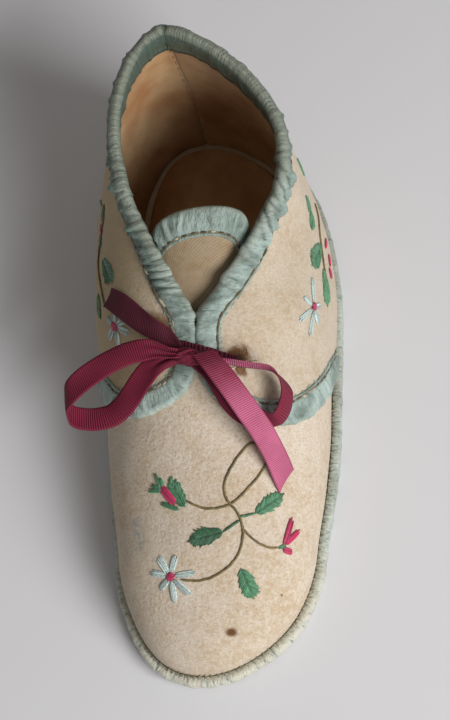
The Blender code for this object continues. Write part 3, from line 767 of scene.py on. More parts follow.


# Marks on the flat cloth of the flannel: rust and holes at the tie ribbon's slots, petals that have
# worn away and two moth holes. The holes are not cut but painted: dark patches for the shade in them
Spot = namedtuple("Spot", "across u radius")
RUST = (
    Spot(8.4, -2.6, 2.9),
    Spot(7.0, -3.0, 1.9),
    Spot(8.6, -5.4, 1.6),
    Spot(-5.5, 1.8, 5.0),
    Spot(-8.5, 3.8, 3.4),
)
TRACES = (Spot(-15.8, -32.2, 1.5), Spot(-15.2, -34.2, 1.3), Spot(-14.4, -36.4, 1.5))
SLOT_HOLES = (Spot(8.2, -3.5, 1.25), Spot(-6.3, 0.8, 1.4))
MOTH_HOLES = (Spot(6.0, -58.0, 1.5), Spot(16.5, -47.8, 0.5))

# Colours of soil and wear, and of painted shade and painted highlights, beside the ones in the settings
HAIR_SHADE = (0.36, 0.26, 0.155)
INNER_YELLOW_AND_SHADE = (0.47, 0.36, 0.2)
RUST_BROWN = (0.155, 0.07, 0.022)
TRACE_BLUE = (0.33, 0.41, 0.44)
SLOT_HOLE_SHADE = (0.045, 0.02, 0.008)
MOTH_HOLE_SHADE = (0.135, 0.052, 0.014)
LINING_SHADE = (0.20, 0.10, 0.042)
LINING_WEAVE = (0.32, 0.17, 0.07)
CRINKLE_SHADE = (0.105, 0.125, 0.085)
PAINTED_FOLD_SHADE = (0.045, 0.062, 0.05)
PAINTED_FOLD_GLINT = (0.58, 0.68, 0.64)
BINDING_GROOVE = (0.13, 0.10, 0.045)
SOLE_RIBBON_WORN = (0.78, 0.73, 0.60)
TIE_SOIL = (0.10, 0.008, 0.022)
TIE_GROOVE_SHADE = (0.05, 0.003, 0.009)
TIE_RIB_HIGHLIGHT = (0.75, 0.15, 0.30)
TIE_EDGE = (0.20, 0.02, 0.05)
THREAD_SHADE = (0.02, 0.02, 0.015)
SOLE_SOIL = (0.42, 0.33, 0.22)


def flannel_finish(name, shade=WHITE, inner_yellow_and_shade=0.0, nap=1.0):
    """Mottled flannel. The third argument is how far its inner side darkens, partly yellowed and partly
    painted shade; nap is how well it hides the weave.
    """
    cloth = settings("shoe_cloth")
    clean = [c * k for c, k in zip(cloth.flannel, shade)]
    yellowed = [c * k for c, k in zip(cloth.flannel_aged, shade)]
    look = Finish(name, roughness=0.95, sheen=0.25, sheen_tint=(1.0, 0.93, 0.8))
    place = look.place()
    flat = look.flat()
    clouds = look.noise(place, 55.0, detail=4.0, rough=0.6)
    patches = look.noise(place, 260.0, detail=4.0, rough=0.65)
    tufts = look.noise(place, 900.0, detail=3.0, rough=0.6)
    hairs = look.noise(look.scaled(flat, (1.0, 1.3, 1.0)), 1.5, detail=4.0, rough=0.8)
    share = look.plus(look.ramp(clouds, 0.36, 0.7, 0.0, 0.55), look.ramp(patches, 0.35, 0.7, 0.0, 0.5))
    share = look.times(share, look.ramp(tufts, 0.3, 0.66, 0.25, 1.25), clamp=True)
    colour = look.mix(share, clean, yellowed)
    colour = look.mix(look.ramp(hairs, 0.44, 0.7, 0.0, 0.6), colour, HAIR_SHADE)
    # The inner side darker and yellower: partly real yellowing, partly painted shade where it faces away
    # from the lamp
    if inner_yellow_and_shade:
        inner = look.ramp(look.parts(place)[0], -0.005, -0.016, 0.0, inner_yellow_and_shade)
        colour = look.mix(inner, colour, INNER_YELLOW_AND_SHADE)
    ragged = look.math("MULTIPLY_ADD", look.noise(flat, 0.5, 4.0, 0.7), 3.2, -1.6)
    for spot in RUST:
        off = look.plus(look.away(flat, spot), ragged)
        stain = look.ramp(off, 0.35 * spot.radius, spot.radius, 0.9, 0.0)
        colour = look.mix(stain, colour, RUST_BROWN)
    threads = look.ramp(tufts, 0.4, 0.62)
    for spot in TRACES:
        trace = look.ramp(look.away(flat, spot), 0.2 * spot.radius, 1.4 * spot.radius, 0.75, 0.0)
        colour = look.mix(look.times(trace, threads), colour, TRACE_BLUE)
    # Painted shade: a dark patch where each slot opens
    for spot in SLOT_HOLES:
        hole = look.ramp(look.away(flat, spot), 0.5 * spot.radius, 1.3 * spot.radius, 0.9, 0.0)
        colour = look.mix(hole, colour, SLOT_HOLE_SHADE)
    # Painted shade: dark brown patches for two moth holes
    uneven = look.times(patches, 0.6)
    for spot in MOTH_HOLES:
        off = look.plus(look.away(flat, spot), uneven)
        hole = look.ramp(off, 0.55 * spot.radius, 1.15 * spot.radius + 0.3, 1.0, 0.0)
        colour = look.mix(hole, colour, MOTH_HOLE_SHADE)
    across, run = look.parts(flat)[:2]
    pitch = cloth.thread_pitch / MM
    twill = look.waves(look.plus(across, run), pitch)
    weave = look.times(twill, look.waves(look.math("SUBTRACT", run, across), pitch * 1.6))
    colour = look.mix(look.times(weave, 0.34 - 0.2 * nap), colour, [c * 0.55 for c in yellowed])
    normal = look.bump(weave, 0.12 - 0.07 * nap, 0.8 - 0.4 * nap)
    normal = look.bump(hairs, 0.3 * nap, 0.8, normal)
    normal = look.bump(tufts, 0.35 * nap, 0.6, normal)
    return look.done(colour, normal)


def lining_finish():
    """Plain cotton, browned in patches and darker low down."""
    cloth = settings("shoe_cloth")
    look = Finish("lining", roughness=0.75, sheen=0.1)
    place = look.place()
    clouds = look.noise(place, 60.0, detail=3.0, rough=0.6)
    colour = look.mix(look.ramp(clouds, 0.35, 0.7), cloth.lining, cloth.lining_aged)
    low = look.ramp(look.parts(place)[2], 0.02, 0.05, 0.22, 0.0)
    colour = look.mix(low, colour, LINING_SHADE)
    across, run = look.parts(look.flat())[:2]
    weave = look.times(look.waves(across, 0.5), look.waves(run, 0.5))
    colour = look.mix(look.times(weave, 0.2), colour, LINING_WEAVE)
    normal = look.bump(weave, 0.05, 0.5)
    normal = look.bump(look.noise(place, 300.0, 3.0), 0.3, 0.5, normal)
    return look.done(colour, normal)


def binding_finish(name, worn, worn_colour, seam=None):
    """Thin silk, crinkled across its length and faded in patches; darker behind, partly its deeper colour
    and partly painted shade, with painted shade on the inner side and in the creases and painted glints on
    the folds.
    """
    ribbon = settings("shoe_ribbon")
    look = Finish(name, roughness=0.38, sheen=0.08, sheen_tint=(0.8, 1.0, 0.95), specular=0.5)
    place = look.place()
    flat = look.flat()
    across = look.parts(flat)[1]
    clouds = look.noise(place, 130.0, detail=4.0, rough=0.65)
    crinkle = look.noise(look.scaled(flat, (1.3, 0.33, 1.0)), 1.0, detail=5.0, rough=0.7, warp=0.3)
    fine = look.noise(look.scaled(flat, (4.5, 0.9, 1.0)), 1.0, detail=3.0, rough=0.6)
    deep = look.ramp(clouds, 0.38, 0.68, 0.0, 0.75)
    colour = look.mix(deep, ribbon.binding, ribbon.binding_deep_and_shade)
    sideways, back = look.parts(place)[:2]
    # Darker towards the back, partly the silk's deeper colour and partly painted shade; painted shade on the
    # inner side, which faces away from the lamp
    behind = look.ramp(back, 0.012, 0.046)
    inner_side_shade = look.times(look.ramp(sideways, -0.002, -0.010, 0.0, 0.75), look.ramp(back, -0.004, 0.006))
    colour = look.mix(look.math("MAXIMUM", behind, inner_side_shade), colour, ribbon.binding_deep_and_shade)
    # Paler where the crinkles rise: partly real fading, partly painted light on their ridges
    fade_and_crinkle_light = look.ramp(look.plus(crinkle, worn), 0.58, 0.78, 0.0, 0.8)
    fade_and_crinkle_light = look.times(fade_and_crinkle_light, look.ramp(back, -0.048, -0.028, 1.0, 0.45))
    colour = look.mix(fade_and_crinkle_light, colour, worn_colour)
    # Painted shade in the creases of the crinkles
    colour = look.mix(look.ramp(crinkle, 0.3, 0.47, 0.6, 0.0), colour, CRINKLE_SHADE)
    rub = look.ramp(look.plus(across, look.times(clouds, 1.6)), 0.45, 1.1, 0.3, 0.0)
    colour = look.mix(rub, colour, worn_colour)
    # Painted shade in the valleys between the gathered folds and painted glints on their ridges, fewer at
    # the back and none on the shaded inner side
    fold = look.attribute("fold", "Fac")
    colour = look.mix(look.ramp(fold, 0.05, 0.9, 0.0, 0.72), colour, PAINTED_FOLD_SHADE)
    ridge = look.times(look.ramp(fold, -0.3, -1.4, 0.0, 0.4), look.ramp(back, 0.01, 0.035, 1.0, 0.1))
    ridge = look.times(ridge, look.math("SUBTRACT", 1.0, inner_side_shade))
    colour = look.mix(ridge, colour, PAINTED_FOLD_GLINT)
    if seam is not None:
        off = look.math("ABSOLUTE", look.math("SUBTRACT", across, seam))
        groove = look.times(look.ramp(off, 0.1, 0.45, 0.85, 0.0), look.ramp(fine, 0.3, 0.5, 0.4, 1.0))
        colour = look.mix(groove, colour, BINDING_GROOVE)
    normal = look.bump(look.waves(across, 0.24), 0.02, 0.4)
    normal = look.bump(fine, 0.2, 0.8, normal)
    normal = look.bump(crinkle, 1.0, 0.8, normal)
    return look.done(colour, normal)


def tie_finish(name, near, far, turn, faded_and_lit_start=0.0):
    """Silk with ribs across the ribbon, which goes from one colour to another at a length; on the darker
    cords the far colour is painted shade.
    """
    ribbon = settings("shoe_ribbon")
    look = Finish(name, roughness=0.65, sheen=0.02, sheen_tint=(1.0, 0.6, 0.75), specular=0.2)
    flat = look.flat()
    run, across = look.parts(flat)[:2]
    ribs = look.waves(run, ribbon.rib_pitch / MM)
    clouds = look.noise(look.place(), 110.0, detail=3.0, rough=0.6)
    wander = look.plus(run, look.times(clouds, 14.0))
    colour = look.mix(look.ramp(wander, turn, turn + 14.0), near, far)
    # Pale at the start: partly fading, partly painted light where the strand faces the lamp
    if faded_and_lit_start:
        pale = look.ramp(run, faded_and_lit_start - 5.0, faded_and_lit_start + 3.0, 0.9, 0.0)
        colour = look.mix(pale, colour, ribbon.tie_faded)
    colour = look.mix(look.ramp(clouds, 0.3, 0.75, 0.0, 0.3), colour, TIE_SOIL)
    # Painted shade in the grooves between the ribs and painted highlights on the ribs
    colour = look.mix(ribs, look.mix(0.5, colour, TIE_GROOVE_SHADE), look.mix(0.15, colour, TIE_RIB_HIGHLIGHT))
    edge = look.ramp(look.math("ABSOLUTE", across), 2.05, 2.25)
    colour = look.mix(look.times(edge, 0.35), colour, TIE_EDGE)
    normal = look.bump(ribs, 0.12, 0.8)
    normal = look.bump(look.noise(flat, 5.0, 2.0), 0.06, 0.5, normal)
    return look.done(colour, normal)


def thread_finish(name, roughness=0.5):
    """Silk thread in the colour that each stitch carries."""
    look = Finish(name, roughness=roughness, sheen=0.2, specular=0.4)
    tint = look.attribute("tint", "Color")
    strands = look.noise(look.place(), 4200.0, detail=1.0)
    dark = look.mix(0.45, tint, THREAD_SHADE)
    colour = look.mix(look.ramp(strands, 0.35, 0.65), dark, tint)
    return look.done(colour, look.bump(strands, 0.06, 0.6))


def sole_finish():
    cloth = settings("shoe_cloth")
    look = Finish("sole_cloth", roughness=0.9, sheen=0.1)
    place = look.place()
    clouds = look.noise(place, 45.0, detail=4.0, rough=0.6)
    colour = look.mix(look.ramp(clouds, 0.35, 0.7), cloth.sole, SOLE_SOIL)
    grain = look.noise(place, 1800.0, detail=2.0)
    return look.done(colour, look.bump(grain, 0.15, 0.7))


# Flannel

# How far the vamp runs on under the quarters, and the quarter's cloth stops short of its bound edge
VAMP_UNDERLAP = 7.0
QUARTER_SET_BACK = 0.2
# Where the tongue and its ribbon lie on the flat cloth, clear of the marks on the vamp
TONGUE_FLAT_HALF = 11.0
TONGUE_FLAT_TOP = 100.0
TONGUE_RIBBON_START = 400.0


def flannel_offset(side, u, down, base):
    """The flannel's soft unevenness, which fades out where it is sewn to the sole."""
    cloth = settings("shoe_cloth")
    point = wall_point(side, u, down)
    lumps = 0.75 * soft_noise(point, 15.0) + 0.25 * soft_noise(point, 5.0, 3.0)
    return base + lumps * cloth.unevenness / MM * (1 - ease(down, 0.9, 1.0))


def build_vamp():
    def span(side, down):
        return FIRST, lap_at(side, down) + VAMP_UNDERLAP

    def height(side, u, down):
        return flannel_offset(side, u, down, 0.0)

    return wall_sheet(columns=190, rows=54, span=span, height=height)


def build_quarters():
    def span(side, down):
        return lap_at(side, down) + QUARTER_SET_BACK, LAST

    def height(side, u, down):
        return flannel_offset(side, u, down, lap_height(down))

    return wall_sheet(columns=230, rows=54, span=span, height=height, behind=HEEL_END - 4)


def build_tongue():
    bm = bmesh.new()
    columns, rows, deepest = 44, 52, 27.0

    def spot(i, j):
        share = i / columns * 2 - 1
        depth = deepest * j / rows
        place = tongue_skin(share, depth, 0.0)
        place = place + np.array((0.0, 0.0, 0.15 * soft_noise(place, 8.0, 5.0)))
        return place, (share * TONGUE_FLAT_HALF, TONGUE_FLAT_TOP - depth)

    add_grid(bm, columns, rows, spot)
    face_out(bm)
    return bm


# The quarters and the tongue have darkened more than the vamp
QUARTER_SHADE = (0.86, 0.85, 0.82)
TONGUE_SHADE = (0.57, 0.50, 0.405)


class SHOE_OT_flannel(bpy.types.Operator):
    """Vamp, quarters and tongue of cream flannel"""

    bl_idname = "shoe.flannel"
    bl_label = "Flannel"

    def execute(self, context):
        finish = flannel_finish("flannel")
        quarter = flannel_finish("quarter_flannel", QUARTER_SHADE, inner_yellow_and_shade=0.75, nap=0.8)
        shaded = flannel_finish("tongue_flannel", TONGUE_SHADE, nap=0.25)
        finish_piece("vamp_flannel", build_vamp(), finish, ("upper",), FLANNEL_THICK)
        finish_piece("quarter_flannel", build_quarters(), quarter, ("upper",), FLANNEL_THICK)
        finish_piece("tongue_flannel", build_tongue(), shaded, ("tongue",), FLANNEL_THICK)
        return {"FINISHED"}


# Lining and foot bed

def build_lining():
    def span(side, down):
        return FIRST, LAST

    def height(side, u, down):
        pucker = 0.0
        if u >= CLOSED_END:
            pucker = 0.3 * soft_noise((u * 0.9, down * 30.0, side * 9.0), 6.0, 2.0)
        seam = 0.5 * math.exp(-(((LAST - u) / 0.8) ** 2))
        return inside(side, u, down) + 0.15 + pucker * ease(down, 0.0, 0.2) + seam

    return wall_sheet(columns=150, rows=40, span=span, height=height, inwards=True)


def outline_places(count):
    """Even places along the shoe from toe to heel, close together round its ends."""
    return [FIRST + (LAST - FIRST) * k / count for k in range(count + 1)]


def plan_across(u, share, inset):
    """A point between the outline's two sides: share runs from -1 on the inner one to 1."""
    inner, outer = (plan(side, u, inset) for side in (INNER, OUTER))
    return inner + (outer - inner) * (share + 1) / 2


def build_foot_bed():
    bm = bmesh.new()
    columns, rows = 110, 36
    places = outline_places(columns)
    inset = LEDGE + WALL + 0.9

    def spot(i, j):
        share = j / rows * 2 - 1
        x, y = plan_across(places[i], share, inset)
        crown = 0.5 * (1 - share * share) * math.cos(end_angle(places[i]))
        lumps = 0.12 * soft_noise((x, y, 0.0), 9.0, 7.0)
        return settle([x, y, FEATHER + INSOLE * 0.55 + crown + lumps]), (float(x), float(y))

    add_grid(bm, columns, rows, spot)
    weld(bm)
    bm.normal_update()
    if sum(face.normal.z for face in bm.faces) < 0:
        bmesh.ops.reverse_faces(bm, faces=bm.faces[:])
    return bm


class SHOE_OT_lining(bpy.types.Operator):
    """Tan lining with its back seam, and the foot bed"""

    bl_idname = "shoe.lining"
    bl_label = "Lining"

    def execute(self, context):
        finish = lining_finish()
        finish_piece("lining_cloth", build_lining(), finish, ("upper",))
        finish_piece("foot_bed", build_foot_bed(), finish, ("insole",), FOOT_BED_THICK)
        return {"FINISHED"}


# Sole

def close_ring(bm):
    """Joins a ring's first and last rows, and turns its faces outwards."""
    weld(bm, 0.004)
    bmesh.ops.recalc_face_normals(bm, faces=bm.faces[:])


def build_sole():
    bm = bmesh.new()
    places = outline_places(150)
    edge = RIBBON + GAP
    rebate = SOLE_UNDERLIP + GAP
    across = np.linspace(-1, 1, 23)
    section = [(rebate, share, 0.0) for share in across]
    section += [(rebate, 1.0, edge), (edge, 1.0, edge), (edge, 1.0, SOLE_TOP)]
    section += [(edge, share, SOLE_TOP) for share in across[::-1]]
    section += [(edge, -1.0, edge), (rebate, -1.0, edge)]

    def spot(i, j):
        inset, share, height = section[j % len(section)]
        x, y = plan_across(places[i], share, inset)
        dent = 0.06 + 0.06 * soft_noise((x, y, 2.0), 7.0) if height == 0.0 else 0.0
        return settle([x, y, height + dent]), (float(x), float(y))

    add_grid(bm, len(places) - 1, len(section), spot)
    close_ring(bm)
    return bm


# The rows of the sole ribbon's section that show, and so are gathered
SHOWN_FIRST = 3
SHOWN_LAST = 11


def build_sole_binding(height):
    bm = bmesh.new()
    places = outline_places(230)
    stops = [(OUTER, u) for u in places[:-1]] + [(INNER, u) for u in reversed(places[1:])]
    top = SOLE_TOP + GAP + RIBBON
    section = (
        (SOLE_UNDERLIP, 0.0), (1.2, 0.0), (0.5, 0.02),
        (0.14, 0.25), (0.0, 0.8), (-0.1, 1.5), (-0.12, 2.2), (-0.04, 2.9), (0.15, 3.4),
        (0.5, top - 0.05), (1.0, top + 0.02), (SOLE_LIP + 0.2, top - 0.08),
        (SOLE_LIP + 0.55, top - 0.35), (SOLE_LIP, top - RIBBON), (RIBBON, top - RIBBON),
        (RIBBON, RIBBON), (SOLE_UNDERLIP, RIBBON),
    )
    outline = np.array([plan(side, u) for side, u in stops])
    run = run_along(outline)
    folds = Gathers(run[-1], step=2.6, height=height, seed=21)

    def spot(i, j):
        k = i % len(stops)
        side, u = stops[k]
        inset, z = section[j % len(section)]
        shown = SHOWN_FIRST <= j <= SHOWN_LAST
        fold = folds.at(run[k], (z - 2.0) * 0.8) - height * 0.4 if shown else 0.0
        wander = 0.16 * soft_noise((run[k], 0.0, 4.0), 11.0) if shown else 0.0
        x, y = plan(side, u, inset - 0.6 * fold - wander)
        rise = 0.5 * fold if z > 2.5 and shown else 0.0
        along_run = run[k] if i < len(stops) else run[-1] + 1.0
        return settle([x, y, max(z + rise, 0.0)]), (along_run, j * 0.55)

    add_grid(bm, len(stops), len(section), spot)
    close_ring(bm)
    return bm


class SHOE_OT_sole(bpy.types.Operator):
    """Cloth sole and the faded ribbon that binds its edge"""

    bl_idname = "shoe.sole"
    bl_label = "Sole"

    def execute(self, context):
        height = settings("shoe_ribbon").gather_height / MM * 0.6
        finish_piece("sole_pad", build_sole(), sole_finish(), ("sole",))
        worn = binding_finish("sole_ribbon", worn=0.27, worn_colour=SOLE_RIBBON_WORN)
        finish_piece("sole_ribbon", build_sole_binding(height), worn, ("sole_binding",))
        return {"FINISHED"}


# Bindings of the upper's edges

EdgeStop = namedtuple("EdgeStop", "side u length in_u in_length rim run breadth")
EDGE_STEP = 0.36
BAND_ROWS = 20
TURN_ROWS = 6
BAND = 4.0
SEAM = BAND - 0.15
# How much narrower the ribbon is along the inner side
INNER_NARROWER = 0.25


def edge_of_side(side):
    """The bound edge of one quarter from the back of the heel to the sole, as u and length."""
    collar = [(u, 0.0) for u in np.arange(LAST, V_BOTTOM + 0.3, -0.5)]
    slit = [(u, 0.3) for u in np.linspace(V_BOTTOM - 0.6, LAP_START, 8)[:-1]]
    lap = []
    for down in np.linspace(0.02, 0.975, 60):
        u = lap_at(side, down) + 0.1
        lap.append((u, down * wall_length(side, u)))
    rough = np.array(collar + slit + lap)
    run = run_along(rough)
    return resampled(rough, run, np.linspace(0.0, run[-1], int(run[-1] / EDGE_STEP)))


def edge_stops():
    """The whole binding: up the inner lap, round the collar and down the outer lap."""
    stops = []
    for side in (INNER, OUTER):
        edge = edge_of_side(side)
        smooth = edge.copy()
        for _ in range(12):
            smooth[1:-1] = (smooth[:-2] + 2 * smooth[1:-1] + smooth[2:]) / 4
        way = unit(np.gradient(smooth, axis=0))
        inward = np.stack((way[:, 1], -way[:, 0]), axis=1)
        rows = [(side, *smooth[k], *inward[k]) for k in range(len(edge))]
        stops += rows[::-1] if side == INNER else rows[1:]
    places = [skin_at(side, u, max(length, 0.0), LAP_STEP) for side, u, length, *_ in stops]
    run = run_along(places)
    placed = []
    for k, (side, u, length, in_u, in_length) in enumerate(stops):
        rim = ease(u, V_BOTTOM - 1.0, V_BOTTOM + 2.0)
        uneven = 0.45 * soft_noise((run[k], 3.0, 0.0), 9.0) * ease(u, V_BOTTOM + 4.0, V_BOTTOM + 14.0)
        breadth = 1.0
        if side == INNER:
            breadth -= INNER_NARROWER * ease(u, 6.0, 18.0) * (1.0 - ease(u, 50.0, LAST))
        placed.append(EdgeStop(side, u, length + uneven, in_u, in_length, rim, run[k], breadth))
    return placed


def on_edge(stop, across, offset):
    """A point near a bound edge: across is the length in from the edge, offset the height."""
    if across > 0.0:
        across *= stop.breadth
    u = stop.u + stop.in_u * across
    length = stop.length + stop.in_length * across
    if stop.rim < 0.5:
        length = max(length, 0.05)
    return skin_at(stop.side, min(u, LAST), length, offset)


def quarter_top(stop, across):
    length = stop.length + stop.in_length * max(across, 0.0)
    down = length / wall_length(stop.side, stop.u)
    return lap_height(min(max(down, 0.0), 1.0))


def band_row(stop, j, fold):
    """One row of the folded ribbon's section at a stop: its length in from the edge, and height."""
    top = quarter_top(stop, 1.0)
    down = min(max(stop.length / wall_length(stop.side, stop.u), 0.0), 1.0)
    below = inside(stop.side, stop.u, down) - 0.45 if stop.rim > 0.5 else 0.06
    gap = np.linalg.norm(wall_point(OUTER, stop.u, 0.0) - wall_point(INNER, stop.u, 0.0))
    wave = 0.28 * soft_noise((stop.run, 0.0, 0.0), 3.2, 6.0)
    reach = -min(0.95 + wave, max(gap / 2 - 0.05, 0.15)) * stop.rim - 0.15 * (1 - stop.rim)
    middle = (top + 0.5 + below) / 2
    half = (top + 0.5 - below) / 2
    outer = (
        (BAND + 0.35, top + 0.04), (BAND + 0.2, top + 0.2), (BAND - 0.02, top + 0.14),
        (BAND - 0.25, top + 0.06), (BAND - 0.5, top + 0.2 + 0.2 * fold),
        (BAND - 1.0, top + 0.32 + 0.7 * fold), (BAND - 1.8, top + 0.42 + fold),
        (BAND - 2.5, top + 0.47 + fold), (BAND - 3.1, top + 0.5 + 0.8 * fold),
    )
    if j < len(outer):
        return outer[j]
    turn = (j - len(outer)) / TURN_ROWS
    if turn <= 1:
        angle = math.pi * (0.5 - turn)
        start = BAND - 3.4
        rounded = reach + (start - reach) * (1 - math.cos(angle)) - 0.35 * fold
        lean = math.copysign(abs(math.sin(angle)) ** (1 + 0.6 * stop.rim), angle)
        return rounded, middle + half * lean + 0.35 * fold * (1 - turn)
    return 0.8 + (j - len(outer) - TURN_ROWS) * 1.5, below - 0.45 * fold * stop.rim


# The main folds in the ribbon along the front opening
Crease = namedtuple("Crease", "side u height width slant")
MAIN_CREASES = (
    Crease(OUTER, 31.5, 1.5, 0.7, 0.9),
    Crease(OUTER, 29.0, 1.4, 0.7, 0.9),
    Crease(OUTER, 26.5, 1.8, 0.8, 1.0),
    Crease(OUTER, 23.3, 1.7, 0.7, 0.8),
    Crease(OUTER, 20.7, 1.6, 0.6, 1.1),
    Crease(OUTER, 15.5, 1.4, 0.8, 0.5),
    Crease(OUTER, 10.5, 1.5, 0.7, 0.6),
    Crease(INNER, 35.6, 1.2, 0.6, -0.5),
    Crease(INNER, 33.0, 0.7, 0.4, -0.1),
    Crease(INNER, 30.4, 1.3, 0.7, -0.4),
    Crease(INNER, 28.6, 0.6, 0.4, 0.1),
    Crease(INNER, 25.9, 1.2, 0.5, -0.6),
    Crease(INNER, 22.6, 0.8, 0.6, -0.2),
    Crease(INNER, 20.9, 1.3, 0.5, -0.5),
    Crease(INNER, 17.6, 1.1, 0.5, -0.3),
    Crease(INNER, 16.1, 0.7, 0.4, 0.2),
    Crease(INNER, 14.2, 1.3, 0.5, -0.2),
    Crease(INNER, 12.6, 0.9, 0.4, 0.1),
    Crease(INNER, 11.0, 1.3, 0.5, -0.3),
    Crease(INNER, 9.5, 0.9, 0.4, 0.0),
    Crease(INNER, 7.6, 1.1, 0.5, -0.2),
)


def build_edge_binding(height):
    bm = bmesh.new()
    stops = edge_stops()
    folds = Gathers(stops[-1].run, step=2.1, height=height, seed=4)
    creases = Gathers(stops[-1].run, step=5.0, height=height * 0.8, seed=9)
    for crease in MAIN_CREASES:
        rim = (stop for stop in stops if stop.side == crease.side and stop.rim > 0.5)
        near = min(rim, key=lambda stop: abs(stop.u - crease.u))
        folds.add(near.run, crease.height, crease.width, crease.slant * crease.side)

    def spot(i, j):
        stop = stops[i]
        across = BAND - 0.5 * j
        fold = folds.at(stop.run, across) + creases.at(stop.run, across * 1.6) - 0.35 * height
        ends = min(ease(stop.run, 0.0, 3.0), ease(stops[-1].run - stop.run, 0.0, 3.0))
        length, offset = band_row(stop, j, fold * ends)
        return on_edge(stop, length, offset), (stop.run, length)

    def bend(i, j):
        run, across = stops[i].run, BAND - 0.5 * j
        return (folds.bend(run, across) + creases.bend(run, across * 1.6)) * ease(j, 2, 5)

    add_grid(bm, len(stops) - 1, BAND_ROWS - 1, spot, bend)
    face_out(bm)
    return bm


TONGUE_RIBBON_LENGTH = 26.0
# The tongue ribbon's section, over the top edge and down behind: depth below the edge, height off the
# tongue, and how much of the gathers it takes
BandRow = namedtuple("BandRow", "depth height flow")
TONGUE_ROWS = (
    BandRow(4.75, 0.05, 0.0),
    BandRow(4.4, 0.2, 0.0),
    BandRow(4.15, 0.16, 0.0),
    BandRow(3.9, 0.08, 0.1),
    BandRow(3.5, 0.3, 0.5),
    BandRow(2.8, 0.42, 0.9),
    BandRow(2.0, 0.5, 1.0),
    BandRow(1.2, 0.52, 0.9),
    BandRow(0.5, 0.5, 0.7),
    BandRow(0.0, 0.35, 0.5),
    BandRow(-0.35, 0.0, 0.3),
    BandRow(-0.5, -0.55, 0.1),
    BandRow(-0.35, -1.1, 0.0),
    BandRow(0.0, -1.4, 0.0),
    BandRow(1.2, -1.5, 0.0),
    BandRow(2.6, -1.5, 0.0),
    BandRow(4.0, -1.5, 0.0),
)


def build_tongue_binding(height):
    bm = bmesh.new()
    columns = 90
    rows = TONGUE_ROWS
    folds = Gathers(TONGUE_RIBBON_LENGTH, step=1.5, height=height * 1.2, seed=12)
    def spot(i, j):
        share = (i / columns * 2 - 1) * 0.99
        run = (share + 1) * TONGUE_RIBBON_LENGTH / 2
        calm = 1.0 - 0.6 * ease(share, -0.1, 0.4)
        row = rows[j]
        fold = (folds.at(run, row.depth) - 0.3 * height) * calm
        place = tongue_skin(share, row.depth, row.height + row.flow * fold)
        return place, (run + TONGUE_RIBBON_START, row.depth - 0.26)

    def bend(i, j):
        return rows[j].flow * folds.bend(i / columns * TONGUE_RIBBON_LENGTH, rows[j].depth)

    add_grid(bm, columns, len(rows) - 1, spot, bend)
    face_out(bm)
    return bm


class SHOE_OT_bindings(bpy.types.Operator):
    """Silk ribbon folded and gathered over the edges of the quarters and the tongue"""

    bl_idname = "shoe.bindings"
    bl_label = "Bindings"

    def execute(self, context):
        ribbon = settings("shoe_ribbon")
        height = ribbon.gather_height / MM
        finish = binding_finish("binding_silk", worn=0.03, worn_colour=ribbon.binding_worn, seam=SEAM)
        bound = ("collar_binding", "lap_binding_left", "lap_binding_right")
        finish_piece("edge_ribbon", build_edge_binding(height), finish, bound, SILK_THICK)
        tongue = build_tongue_binding(height)
        finish_piece("tongue_ribbon", tongue, finish, ("tongue_binding",), SILK_THICK)
        return {"FINISHED"}


# Bow

# The length over which a strap is drawn together at the knot
DRAWN = 10.0


def strap_curve(rows, step=0.3):
    """The middle line and the ways across of a strap, at even steps, settled on the part."""
    middles = np.array([row[:3] for row in rows])
    run = run_along(middles)
    places = np.linspace(0.0, run[-1], max(int(run[-1] / step), 8))
    table = np.array([[smooth_curve(run, column, x) for column in zip(*rows)] for x in places])
    return settle(table[:, :3]), unit(table[:, 3:]), places


def add_strap(bm, rows, start_run, narrow_start=0.0, narrow_end=0.0, slant=0.0, seed=0.0):
    """A ribbon along its folds, drawn together where it enters the knot and cut at its far end."""
    middles, across, places = strap_curve(rows)
    columns, ribs = len(middles) - 1, 10
    way = unit(np.gradient(middles, axis=0))
    normals = np.cross(way, across)

    def spot(i, j):
        share = j / ribs - 0.5
        reach = places[i]
        left = places[-1] - reach
        pinch = max(
            narrow_start * (1 - ease(reach, 0.0, DRAWN)), narrow_end * (1 - ease(left, 0.0, DRAWN)))
        width = TIE_WIDTH * (1 - pinch)
        cup = 0.35 * (share * share * 4 - 0.4) * math.sin(reach * 0.33 + seed)
        pleat = pinch * 0.9 * math.cos(share * 4 * math.pi)
        slide = slant * share * (1 - ease(left, 0.0, 7.0))
        place = middles[i] + across[i] * width * share + normals[i] * (cup + pleat) + way[i] * slide
        return place, (start_run + reach, share * TIE_WIDTH)

    add_grid(bm, columns, ribs, spot)
    return middles, places[-1]


def knot_fold(near, spread=0.25):
    """A fold inside the knot, so that a strap starts there."""
    place = (k + (there - k) * spread for k, there in zip(KNOT_PLACE, near[:3]))
    return Fold(*place, *near[3:])


def build_cord(loop, end, seed, slant):
    """One half of the bow: a loop out of the knot and back, and then a free end."""
    bm = bmesh.new()
    loop_rows = (knot_fold(loop[0]),) + loop + (knot_fold(loop[-1]),)
    end_rows = (knot_fold(end[0]),) + end
    out, length = add_strap(bm, loop_rows, 0.0, narrow_start=0.72, narrow_end=0.66, seed=seed)
    free, _ = add_strap(bm, end_rows, length, narrow_start=0.15, slant=slant, seed=seed + 1)
    route = np.concatenate((out, free))
    return bm, route * MM


